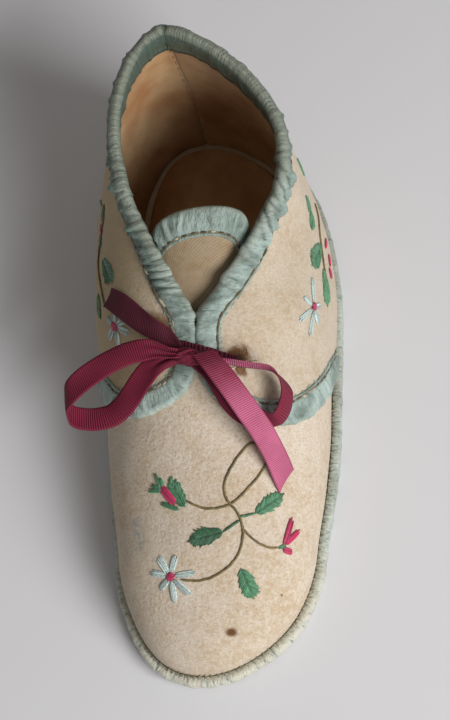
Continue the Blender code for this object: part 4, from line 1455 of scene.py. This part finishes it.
def build_bar():
    """The ribbon across the closed flaps, with both ends down through their slots."""
    bm = bmesh.new()
    clear = LAP_STEP + GAP + RIBBON + GAP
    shares = (-1.0, -1.0, -0.94, -0.8, -0.4, 0.0, 0.4, 0.8, 0.94, 1.0, 1.0)
    heights = (-WALL, 0.6, 1.6, clear, clear + 0.2, clear + 0.3, clear + 0.2, clear, 1.6, 0.6, -WALL)
    columns, ribs = 60, 8

    def spot(i, j):
        place = i / columns * (len(shares) - 1)
        share = smooth_curve(range(len(shares)), shares, place)
        offset = smooth_curve(range(len(shares)), heights, place)
        side = OUTER if share > 0 else INNER
        slot = SLOTS[side]
        draw = 0.6 - 0.35 * ease(abs(share), 0.1, 0.9)
        offset += 0.22 * math.cos(j / ribs * 4 * math.pi) * ease(abs(share), 0.3, 0.9)
        u = BAR_CREST + (slot.u - BAR_CREST) * abs(share) + TIE_WIDTH * (j / ribs - 0.5) * draw
        down = slot.down * abs(share)
        if u > CLOSED_END:
            down = max(down - 0.5 / wall_length(side, u), 0.0)
        return skin(side, u, down, offset), (80.0 + place * 2.0, TIE_WIDTH * (j / ribs - 0.5))

    add_grid(bm, columns, ribs, spot)
    return bm


def build_knot():
    """The ribbon's tight wrap round the middle of the bow, creased along it."""
    bm = bmesh.new()
    flat_map = bm.loops.layers.uv.verify()
    bmesh.ops.create_uvsphere(bm, u_segments=40, v_segments=24, radius=1.0)
    for vert in bm.verts:
        x, y, z = vert.co
        angle = math.atan2(z, y) + 1.3 * x
        crease = 0.09 * math.sin(angle * 7 + 2.0 * x) + 0.06 * math.sin(angle * 12 - 3.0 * x)
        vert.co *= 1 + crease * (1 - abs(x) ** 3)
    for face in bm.faces:
        for loop in face.loops:
            x, y, z = loop.vert.co
            loop[flat_map].uv = (30.0 + x * 6.0, math.atan2(z, y) * 0.6)
    bmesh.ops.scale(bm, vec=Vector(KNOT_HALF_SIZE), verts=bm.verts[:])
    turn = Matrix.Rotation(math.radians(-14), 3, "Z")
    bmesh.ops.rotate(bm, cent=Vector(), matrix=turn, verts=bm.verts[:])
    bmesh.ops.translate(bm, vec=Vector(settle(KNOT_PLACE)), verts=bm.verts[:])
    return bm


def declare_cord(route):
    length = float(np.linalg.norm(np.diff(route, axis=0), axis=1).sum())
    tuple(route[0])
    [tuple(point) for point in route]


class SHOE_OT_bow(bpy.types.Operator):
    """Ribbed ribbon through the slots, tied in a bow"""

    bl_idname = "shoe.bow"
    bl_label = "Bow"

    def execute(self, context):
        ribbon = settings("shoe_ribbon")
        # Painted shade: this finish darkens the right cord's upper end and the bar under the bow; the start
        # of the right loop is pale, partly fading and partly painted light
        dark = tie_finish("tie_ribbon", ribbon.tie, ribbon.tie_shaded, turn=46.0, faded_and_lit_start=17.0)
        fading = tie_finish("tie_ribbon_faded", ribbon.tie, ribbon.tie_faded, turn=74.0)
        finish_piece("tie_bar", build_bar(), dark, ("ribbon_bar",), TIE_THICK)
        knot = finish_piece("tie_knot", build_knot(), dark, ("ribbon_knot",))
        bm, route = build_cord(LOOP_LEFT, END_LOWER, seed=0.4, slant=-3.4)
        nodes = ("ribbon_loop_left", "ribbon_end_lower")
        left = finish_piece("tie_left", bm, fading, nodes, TIE_THICK)
        declare_cord(route)
        bm, route = build_cord(LOOP_RIGHT, END_UPPER, seed=1.7, slant=1.5)
        nodes = ("ribbon_loop_right", "ribbon_end_upper")
        right = finish_piece("tie_right", bm, dark, nodes, TIE_THICK)
        declare_cord(route)
        return {"FINISHED"}


# Embroidery

def cloth_at(across, u, layer):
    """A point on the flannel's face, and the way out of it, at a place on the flat cloth."""
    side = OUTER if across >= 0 else INNER
    down = abs(across) / wall_length(side, u)
    base = lap_height(down) if layer == "quarter" else 0.0
    place = skin(side, u, down, flannel_offset(side, u, down, base))
    return Vector(place), Vector(wall_facing(side, u, down)).normalized()


class Needlework:
    """Stitches joined in one mesh: each is a slim bead of thread in a tint of its own."""

    BATCH = 60

    def __init__(self, seed):
        self.whole = bmesh.new()
        self.rng = np.random.default_rng(seed)
        self.begin()

    def begin(self):
        """Starts a batch: stitches are made a few at a time, as a small mesh is quick to add to."""
        self.bm = bmesh.new()
        self.tint = self.bm.loops.layers.float_color.new("tint")
        self.count = 0

    def end(self):
        """Adds the batch to the whole work, and returns that."""
        mesh = bpy.data.meshes.new("batch")
        self.bm.to_mesh(mesh)
        self.bm.free()
        self.whole.from_mesh(mesh)
        bpy.data.meshes.remove(mesh)
        return self.whole

    def stitch(self, start, end, normal, width, colour, bow=0.3):
        """One stitch from start to end. bow is the share of its thickness that it stands clear."""
        run = end - start
        if run.length < 1e-4:
            return
        forward = run.normalized()
        across = normal.cross(forward).normalized()
        up = forward.cross(across)
        middle = (start + end) / 2 + up * width * bow
        columns = (across * width / 2, up * width * 0.42, forward * run.length * 0.54)
        matrix = Matrix(columns).transposed().to_4x4()
        matrix.translation = middle
        verts = bmesh.ops.create_uvsphere(
            self.bm, u_segments=6, v_segments=6, radius=1.0, matrix=matrix)["verts"]
        shade = self.rng.uniform(0.62, 1.3)
        tint = (*(min(c * shade, 1.0) for c in colour), 1.0)
        for face in {face for vert in verts for face in vert.link_faces}:
            for loop in face.loops:
                loop[self.tint] = tint
        self.count += 1
        if self.count == self.BATCH:
            self.end()
            self.begin()

    def on_cloth(self, first, last, layer, width, colour, bow=0.3):
        """A stitch between two places on the flat cloth."""
        start, facing = cloth_at(*first, layer)
        end, facing_end = cloth_at(*last, layer)
        self.stitch(start, end, (facing + facing_end).normalized(), width, colour, bow)


def traced(points, step):
    """A smooth line through places on the flat cloth, at even steps."""
    points = np.array(points, float)
    ends = (2 * points[0] - points[1], 2 * points[-1] - points[-2])
    knots = np.vstack((ends[0], points, ends[1]))
    fine = []
    for k in range(len(points) - 1):
        a, b, c, d = knots[k:k + 4]
        for t in np.linspace(0, 1, 12, endpoint=False):
            fine.append(0.5 * (2 * b + (c - a) * t + (2 * a - 5 * b + 4 * c - d) * t * t
                               + (3 * b - a - 3 * c + d) * t**3))
    fine = np.array(fine + [points[-1]])
    run = run_along(fine)
    return resampled(fine, run, np.linspace(0.0, run[-1], max(int(run[-1] / step), 1) + 1))


def directed(base, tip):
    """Two places as arrays, the ways along and across from one to the other, and their distance."""
    base = np.array(base, float)
    tip = np.array(tip, float)
    length = np.linalg.norm(tip - base)
    way = (tip - base) / length
    return base, tip, way, np.array((-way[1], way[0])), length


def stem_stitches(work, points, layer, colour, width=0.55):
    """Long stitches that overlap by half, like a rope."""
    line = traced(points, 1.0)
    for k in range(len(line) - 1):
        first = line[max(k - 1, 0)] + work.rng.uniform(-0.08, 0.08, 2)
        work.on_cloth(first, line[k + 1], layer, width, colour)


def satin_stitches(work, base, tip, breadth, layer, colour, width):
    """Straight stitches side by side."""
    base, tip, way, across, length = directed(base, tip)
    count = max(int(breadth / 0.42), 1)
    for k in range(count):
        share = (k + 0.5) / count * 2 - 1
        short = 0.16 * length * share * share
        aside = across * share * breadth / 2
        start = base + aside * 0.55 + way * short + work.rng.uniform(-0.1, 0.1, 2)
        end = tip + aside * 0.75 - way * short + work.rng.uniform(-0.12, 0.12, 2)
        work.on_cloth(start, end, layer, width, colour, 0.35)


# What is sewn, by places on the flat cloth: the length across from the middle line, and u
Stem = namedtuple("Stem", "silk line")
Leaf = namedtuple("Leaf", "base tip breadth shade stalk", defaults=(1.0, None))
Bud = namedtuple("Bud", "silk base tip breadth")
Star = namedtuple("Star", "middle tips")
BUD_THREAD = {"leaf": 0.55, "bloom": 0.6}
PETAL_BREADTH = 1.9


def sew_stem(work, stem, layer, silk):
    stem_stitches(work, stem.line, layer, getattr(silk, stem.silk))


def sew_leaf(work, leaf, layer, silk):
    """A leaf of slanted stitches to both sides of a dark rib, with uneven ends."""
    colour = [c * leaf.shade for c in silk.leaf]
    base, tip, way, across, length = directed(leaf.base, leaf.tip)
    count = max(int(length / 0.46), 5)
    for k in range(count):
        share = (k + 0.5) / count
        half = leaf.breadth / 2 * math.sin(math.pi * min(share * 0.86 + 0.14, 1.0)) ** 0.8
        root = base + way * length * share * 0.92
        for side in (1, -1):
            reach = half * work.rng.uniform(0.8, 1.2)
            ahead = way * min(0.75 * reach + 0.3, length * (1.02 - share) + 0.2)
            work.on_cloth(root, root + across * side * reach + ahead, layer, 0.5, colour)
    work.on_cloth(base + way * length * 0.72, tip + way * 0.2, layer, 0.55, colour)
    stem_stitches(work, (base, base + way * length * 0.8), layer, silk.leaf_rib, 0.3)
    if leaf.stalk:
        middle = (np.array(leaf.stalk) + base) / 2
        stem_stitches(work, (leaf.stalk, middle, base), layer, colour, 0.6)


def sew_bud(work, bud, layer, silk):
    colour = getattr(silk, bud.silk)
    satin_stitches(work, bud.base, bud.tip, bud.breadth, layer, colour, BUD_THREAD[bud.silk])


def sew_star(work, star, layer, silk):
    """A flower of long pale petals round a knot of thread."""
    middle = np.array(star.middle, float)
    for tip in star.tips:
        root = middle + (np.array(tip, float) - middle) * 0.16
        satin_stitches(work, root, tip, PETAL_BREADTH, layer, silk.petal, 0.5)
    for k in range(7):
        angle = k * math.pi / 7
        arm = np.array((math.cos(angle), math.sin(angle))) * 0.95
        work.on_cloth(middle - arm, middle + arm, layer, 0.5, silk.bloom, 0.75)


SEWN_BY = {Stem: sew_stem, Leaf: sew_leaf, Bud: sew_bud, Star: sew_star}

# The sprays, each in the order of its sewing
Spray = namedtuple("Spray", "layer items")
SPRAYS = (
    Spray("vamp", (
        Stem("stem", (
            (-3.8, -29.5), (0.0, -31.3), (3.0, -31.2), (5.8, -30.3), (10.0, -26.2), (12.6, -23.0),
            (13.2, -20.5), (10.6, -18.4), (7.2, -21.4), (5.0, -24.6), (4.1, -27.2), (4.5, -29.6),
            (5.8, -30.8), (7.0, -32.5), (7.7, -34.0), (7.9, -36.2), (7.6, -38.5), (6.4, -41.2),
            (4.0, -43.6), (1.4, -45.2), (-1.7, -45.8), (-4.8, -45.1),
        )),
        Stem("stem", ((7.9, -35.2), (9.5, -36.8), (11.2, -37.8), (13.2, -38.6), (15.5, -38.2))),
        Leaf((10.4, -32.0), (16.8, -27.6), 3.0, stalk=(7.4, -32.8)),
        Leaf((4.0, -35.7), (-3.2, -37.5), 3.7, 0.65, (7.1, -33.6)),
        Leaf((7.4, -43.0), (10.1, -49.2), 3.9, 1.15),
        Star((-7.0, -44.3), (
            (-9.8, -40.0), (-6.0, -40.0), (-1.8, -44.0), (-11.7, -42.8), (-9.4, -46.7), (-6.0, -50.0),
            (-2.8, -48.7),
        )),
        Leaf((-3.9, -30.8), (-7.2, -25.4), 3.4),
        Bud("leaf", (-5.2, -31.2), (-9.2, -29.4), 1.3),
        Bud("bloom", (-5.8, -30.2), (-9.0, -26.4), 2.0),
        Bud("leaf", (-9.0, -26.6), (-10.4, -23.6), 1.0),
        Bud("leaf", (-8.4, -26.2), (-9.2, -24.8), 1.0),
        Bud("leaf", (-9.2, -27.2), (-12.2, -26.6), 1.0),
        Bud("leaf", (-9.0, -26.9), (-11.4, -25.6), 1.0),
        Bud("leaf", (-7.0, -26.2), (-6.6, -24.6), 1.0),
        Bud("bloom", (16.6, -37.8), (18.9, -31.9), 1.3),
        Bud("bloom", (17.0, -37.4), (20.8, -34.0), 1.5),
        Bud("bloom", (16.5, -38.6), (18.8, -38.8), 1.7),
        Bud("leaf", (15.4, -38.3), (17.3, -37.6), 0.9),
    )),
    Spray("quarter", (
        Stem("stem", ((28.8, 36.0), (28.2, 33.0), (27.2, 30.2), (28.0, 26.2), (28.9, 22.0), (29.4, 19.5))),
        Stem("leaf", ((17.6, 41.4), (19.8, 40.4), (21.8, 39.2))),
        Leaf((17.5, 33.4), (20.7, 31.6), 2.4),
        Leaf((20.4, 31.6), (22.6, 28.4), 3.6),
        Leaf((28.1, 21.5), (30.9, 14.0), 4.2, 1.25),
        Leaf((27.4, 26.8), (21.9, 20.0), 4.2),
        Bud("bloom", (33.4, 30.2), (31.3, 27.4), 1.3),
        Bud("bloom", (34.0, 27.0), (33.5, 24.2), 1.3),
        Bud("bloom", (32.7, 23.5), (34.0, 21.4), 1.3),
        Star((23.6, 10.8), (
            (21.9, 17.2), (19.3, 11.5), (20.6, 6.2), (25.6, 4.2), (27.4, 8.0), (26.8, 12.5),
        )),
    )),
    Spray("quarter", (
        Stem("stem", (
            (-13.8, 29.2), (-17.4, 26.8), (-20.0, 24.0), (-20.9, 20.8), (-19.8, 16.8), (-18.6, 10.8),
        )),
        Stem("leaf", ((-19.1, 34.6), (-17.4, 33.4), (-15.6, 32.2))),
        Leaf((-13.0, 31.5), (-15.5, 29.0), 2.2, 0.7),
        Leaf((-17.4, 26.4), (-19.3, 25.0), 1.8, 0.8),
        Leaf((-22.0, 14.5), (-22.4, 9.0), 2.4),
        Leaf((-16.8, 20.9), (-13.7, 14.0), 4.2, 0.75),
        Bud("bloom", (-16.6, 28.5), (-17.0, 26.5), 1.3),
        Star((-17.5, 5.5), (
            (-19.2, 8.0), (-21.4, 4.0), (-18.3, 1.6), (-14.2, 3.4), (-13.8, 6.0), (-16.0, 8.2),
        )),
    )),
)


class SHOE_OT_embroidery(bpy.types.Operator):
    """Sprays of flowers in silk on the vamp and on both quarters"""

    bl_idname = "shoe.embroidery"
    bl_label = "Embroidery"

    def execute(self, context):
        silk = settings("shoe_thread")
        work = Needlework(seed=31)
        for spray in SPRAYS:
            for item in spray.items:
                SEWN_BY[type(item)](work, item, spray.layer, silk)
        finish_piece("embroidery", work.end(), thread_finish("embroidery_silk"))
        return {"FINISHED"}


# Sewing

def sew_edges(work, thread, pale, raw):
    """Running stitches along the bindings of the upper, and the ribbon's frayed edge past them."""
    stops = edge_stops()
    step = 6
    for k in range(4, len(stops) - step - 2, step):
        stop, later = stops[k], stops[k + 4 + int(work.rng.integers(0, 2))]
        top = quarter_top(stop, BAND)
        colour = pale if work.rng.uniform() < 0.25 else thread
        start = Vector(on_edge(stop, SEAM + work.rng.uniform(-0.15, 0.1), top + 0.2))
        end = Vector(on_edge(later, SEAM + work.rng.uniform(-0.2, 0.2), top + 0.2))
        facing = Vector(on_edge(stop, BAND, top + 1.0)) - Vector(on_edge(stop, BAND, top))
        work.stitch(start, end, facing.normalized(), work.rng.uniform(0.42, 0.72), colour, 0.22)
        for _ in range(5):
            root = BAND + work.rng.uniform(0.0, 0.35)
            near = stops[min(k + int(work.rng.integers(0, step)), len(stops) - 2)]
            start = Vector(on_edge(near, root, top + 0.1))
            far = stops[min(k + int(work.rng.integers(0, step)), len(stops) - 2)]
            end = Vector(on_edge(far, root + work.rng.uniform(0.2, 0.7), top + 0.12))
            work.stitch(start, end, facing.normalized(), 0.17, raw, 0.4)


def sew_frays(work, fibre):
    """Rusty fibres that stand out round the tie ribbon's slots."""
    for spot in SLOT_HOLES:
        for _ in range(34):
            angle = work.rng.uniform(0, 2 * math.pi)
            near = spot.radius * work.rng.uniform(0.6, 1.5)
            far = near + work.rng.uniform(0.5, 1.3)
            turn = angle + work.rng.uniform(-0.4, 0.4)
            first = (spot.across + near * math.cos(angle) * 1.4, spot.u + near * math.sin(angle) * 0.8)
            last = (spot.across + far * math.cos(turn) * 1.4, spot.u + far * math.sin(turn) * 0.8)
            work.on_cloth(first, last, "quarter", 0.16, fibre, 0.7)


def sew_tongue(work, thread, pale):
    """Running stitches along the tongue's binding."""
    depth = 3.98
    for k in range(17):
        share = -0.9 + 1.8 * k / 16
        start = Vector(tongue_skin(share, depth, 0.12))
        end = Vector(tongue_skin(share + 0.06, depth + work.rng.uniform(-0.1, 0.1), 0.12))
        facing = Vector(tongue_skin(share, depth, 1.0)) - Vector(tongue_skin(share, depth, 0.0))
        work.stitch(start, end, facing.normalized(), 0.42, pale if k % 4 == 1 else thread, 0.2)


def sew_sole(work, thread):
    """Overcast stitches that hold the sole's ribbon to the upper."""
    top = SOLE_TOP + GAP + RIBBON
    for side in SIDES:
        for u in np.arange(FIRST + 0.6, LAST - 0.6, 1.55):
            later = min(u + work.rng.uniform(0.5, 1.0), LAST)
            inner = settle([*plan(side, u, LEDGE + 0.1), top + 0.75])
            outer = settle([*plan(side, later, SOLE_LIP - 0.2), top + 0.05])
            facing = Vector((*outward(side, u)[:2], 1.2)).normalized()
            width = work.rng.uniform(0.22, 0.4)
            work.stitch(Vector(inner), Vector(outer), facing, width, thread, 0.25)


def sew_back_seam(work, thread):
    """Short stitches down the seam at the back of the lining."""
    for down in np.arange(0.1, 0.9, 0.055):
        ends = []
        for share in (down, down + 0.03):
            offset = inside(OUTER, LAST, share) - 0.05
            ends.append(Vector(skin(OUTER, LAST, share, offset)))
        work.stitch(*ends, Vector((0.0, -1.0, 0.0)), 0.13, thread)


class SHOE_OT_sewing(bpy.types.Operator):
    """The stitches that hold the bindings, the sole's ribbon and the lining's back seam"""

    bl_idname = "shoe.sewing"
    bl_label = "Sewing"

    def execute(self, context):
        silk = settings("shoe_thread")
        work = Needlework(seed=17)
        sew_edges(work, silk.sewing, silk.sewing_pale, silk.raw_edge)
        sew_frays(work, silk.fray)
        sew_tongue(work, silk.sewing, silk.sewing_pale)
        sew_sole(work, silk.sole_thread)
        sew_back_seam(work, silk.fray)
        finish_piece("sewing", work.end(), thread_finish("sewing_thread", 0.7))
        return {"FINISHED"}


# Stage

VIEW_AZIMUTH = math.radians(21.0)
VIEW_ELEVATION = math.radians(69.0)
VIEW_ROLL = math.radians(-22.5)
VIEW_DISTANCE = 430.0
VIEW_TARGET = Vector((2.48, 2.55, 18.0))
VIEW_LENS = 102.1
WINDOW_PLACE = (0.585, -0.475, 0.54)
WINDOW_SIZE = (0.5, 0.45)
WINDOW_TARGET = (0.0, 0.0, 0.02)
WINDOW_COLOUR = (1.0, 0.985, 0.97)
SKY_COLOUR = (1.0, 0.95, 0.9, 1.0)
SENSOR_WIDTH = 36.0
FLOOR_HALF_SIZE = 2.0


def make_camera():
    back = Vector((
        math.sin(VIEW_AZIMUTH) * math.cos(VIEW_ELEVATION),
        -math.cos(VIEW_AZIMUTH) * math.cos(VIEW_ELEVATION),
        math.sin(VIEW_ELEVATION),
    ))
    level = Vector((math.cos(VIEW_AZIMUTH), math.sin(VIEW_AZIMUTH), 0.0))
    upright = back.cross(level)
    across = math.cos(VIEW_ROLL) * level + math.sin(VIEW_ROLL) * upright
    up = math.cos(VIEW_ROLL) * upright - math.sin(VIEW_ROLL) * level
    data = bpy.data.cameras.new("camera")
    data.lens = VIEW_LENS
    data.sensor_width = SENSOR_WIDTH
    data.clip_start = 0.01
    camera = bpy.data.objects.new("camera", data)
    matrix = Matrix((across, up, back)).transposed().to_4x4()
    matrix.translation = (VIEW_TARGET + back * VIEW_DISTANCE) * MM
    camera.matrix_world = matrix
    bpy.context.scene.collection.objects.link(camera)
    bpy.context.scene.camera = camera


def make_window(power):
    """The one large soft light, turned to the shoe."""
    data = bpy.data.lights.new("window", "AREA")
    data.shape = "RECTANGLE"
    data.size, data.size_y = WINDOW_SIZE
    data.energy = power
    data.color = WINDOW_COLOUR
    light = bpy.data.objects.new("window", data)
    turn = (Vector(WINDOW_TARGET) - Vector(WINDOW_PLACE)).to_track_quat("-Z", "Y")
    light.matrix_world = Matrix.Translation(WINDOW_PLACE) @ turn.to_matrix().to_4x4()
    bpy.context.scene.collection.objects.link(light)


class SHOE_OT_stage(bpy.types.Operator):
    """Pale floor, a large soft light from the right and the camera"""

    bl_idname = "shoe.stage"
    bl_label = "Stage"

    def execute(self, context):
        stage = settings("shoe_stage")
        bm = bmesh.new()
        bmesh.ops.create_grid(bm, x_segments=1, y_segments=1, size=FLOOR_HALF_SIZE)
        mesh = bpy.data.meshes.new("floor")
        bm.to_mesh(mesh)
        bm.free()
        look = Finish("floor", roughness=0.8)
        mottle = look.noise(look.place(), 6.0, detail=3.0)
        darker = tuple(0.97 * c for c in stage.floor)
        mesh.materials.append(look.done(look.mix(mottle, stage.floor, darker)))
        floor = bpy.data.objects.new("floor", mesh)
        context.scene.collection.objects.link(floor)
        make_camera()
        make_window(stage.window_power)
        world = bpy.data.worlds.new("sky")
        world.use_nodes = True
        sky = world.node_tree.nodes["Background"]
        sky.inputs["Color"].default_value = SKY_COLOUR
        sky.inputs["Strength"].default_value = stage.sky_strength
        context.scene.world = world
        context.scene.view_settings.view_transform = "Standard"
        return {"FINISHED"}


OPERATORS = (
    SHOE_OT_stage,
    SHOE_OT_bow,
    SHOE_OT_flannel,
    SHOE_OT_lining,
    SHOE_OT_sole,
    SHOE_OT_bindings,
    SHOE_OT_embroidery,
    SHOE_OT_sewing,
)


class SHOE_PT_panel(bpy.types.Panel):
    """The shoe's pieces"""

    bl_idname = "SHOE_PT_panel"
    bl_label = "Tie Shoe"
    bl_space_type = "VIEW_3D"
    bl_region_type = "UI"
    bl_category = "Shoe"

    def draw(self, context):
        for operator in OPERATORS:
            self.layout.operator(operator.bl_idname)


SETTINGS = {
    "shoe_cloth": ShoeCloth,
    "shoe_ribbon": ShoeRibbon,
    "shoe_thread": ShoeThread,
    "shoe_stage": ShoeStage,
}


CLASSES = (*SETTINGS.values(), *OPERATORS, SHOE_PT_panel)


def register():
    for item in CLASSES:
        bpy.utils.register_class(item)
    for name, group in SETTINGS.items():
        setattr(bpy.types.Scene, name, bpy.props.PointerProperty(type=group))


def unregister():
    for name in SETTINGS:
        delattr(bpy.types.Scene, name)
    for item in reversed(CLASSES):
        bpy.utils.unregister_class(item)


def main():
    register()
    bpy.ops.shoe.stage()
    bpy.ops.shoe.bow()
    bpy.ops.shoe.flannel()
    bpy.ops.shoe.lining()
    bpy.ops.shoe.sole()
    bpy.ops.shoe.bindings()
    bpy.ops.shoe.embroidery()
    bpy.ops.shoe.sewing()


if __name__ == "__main__":
    main()
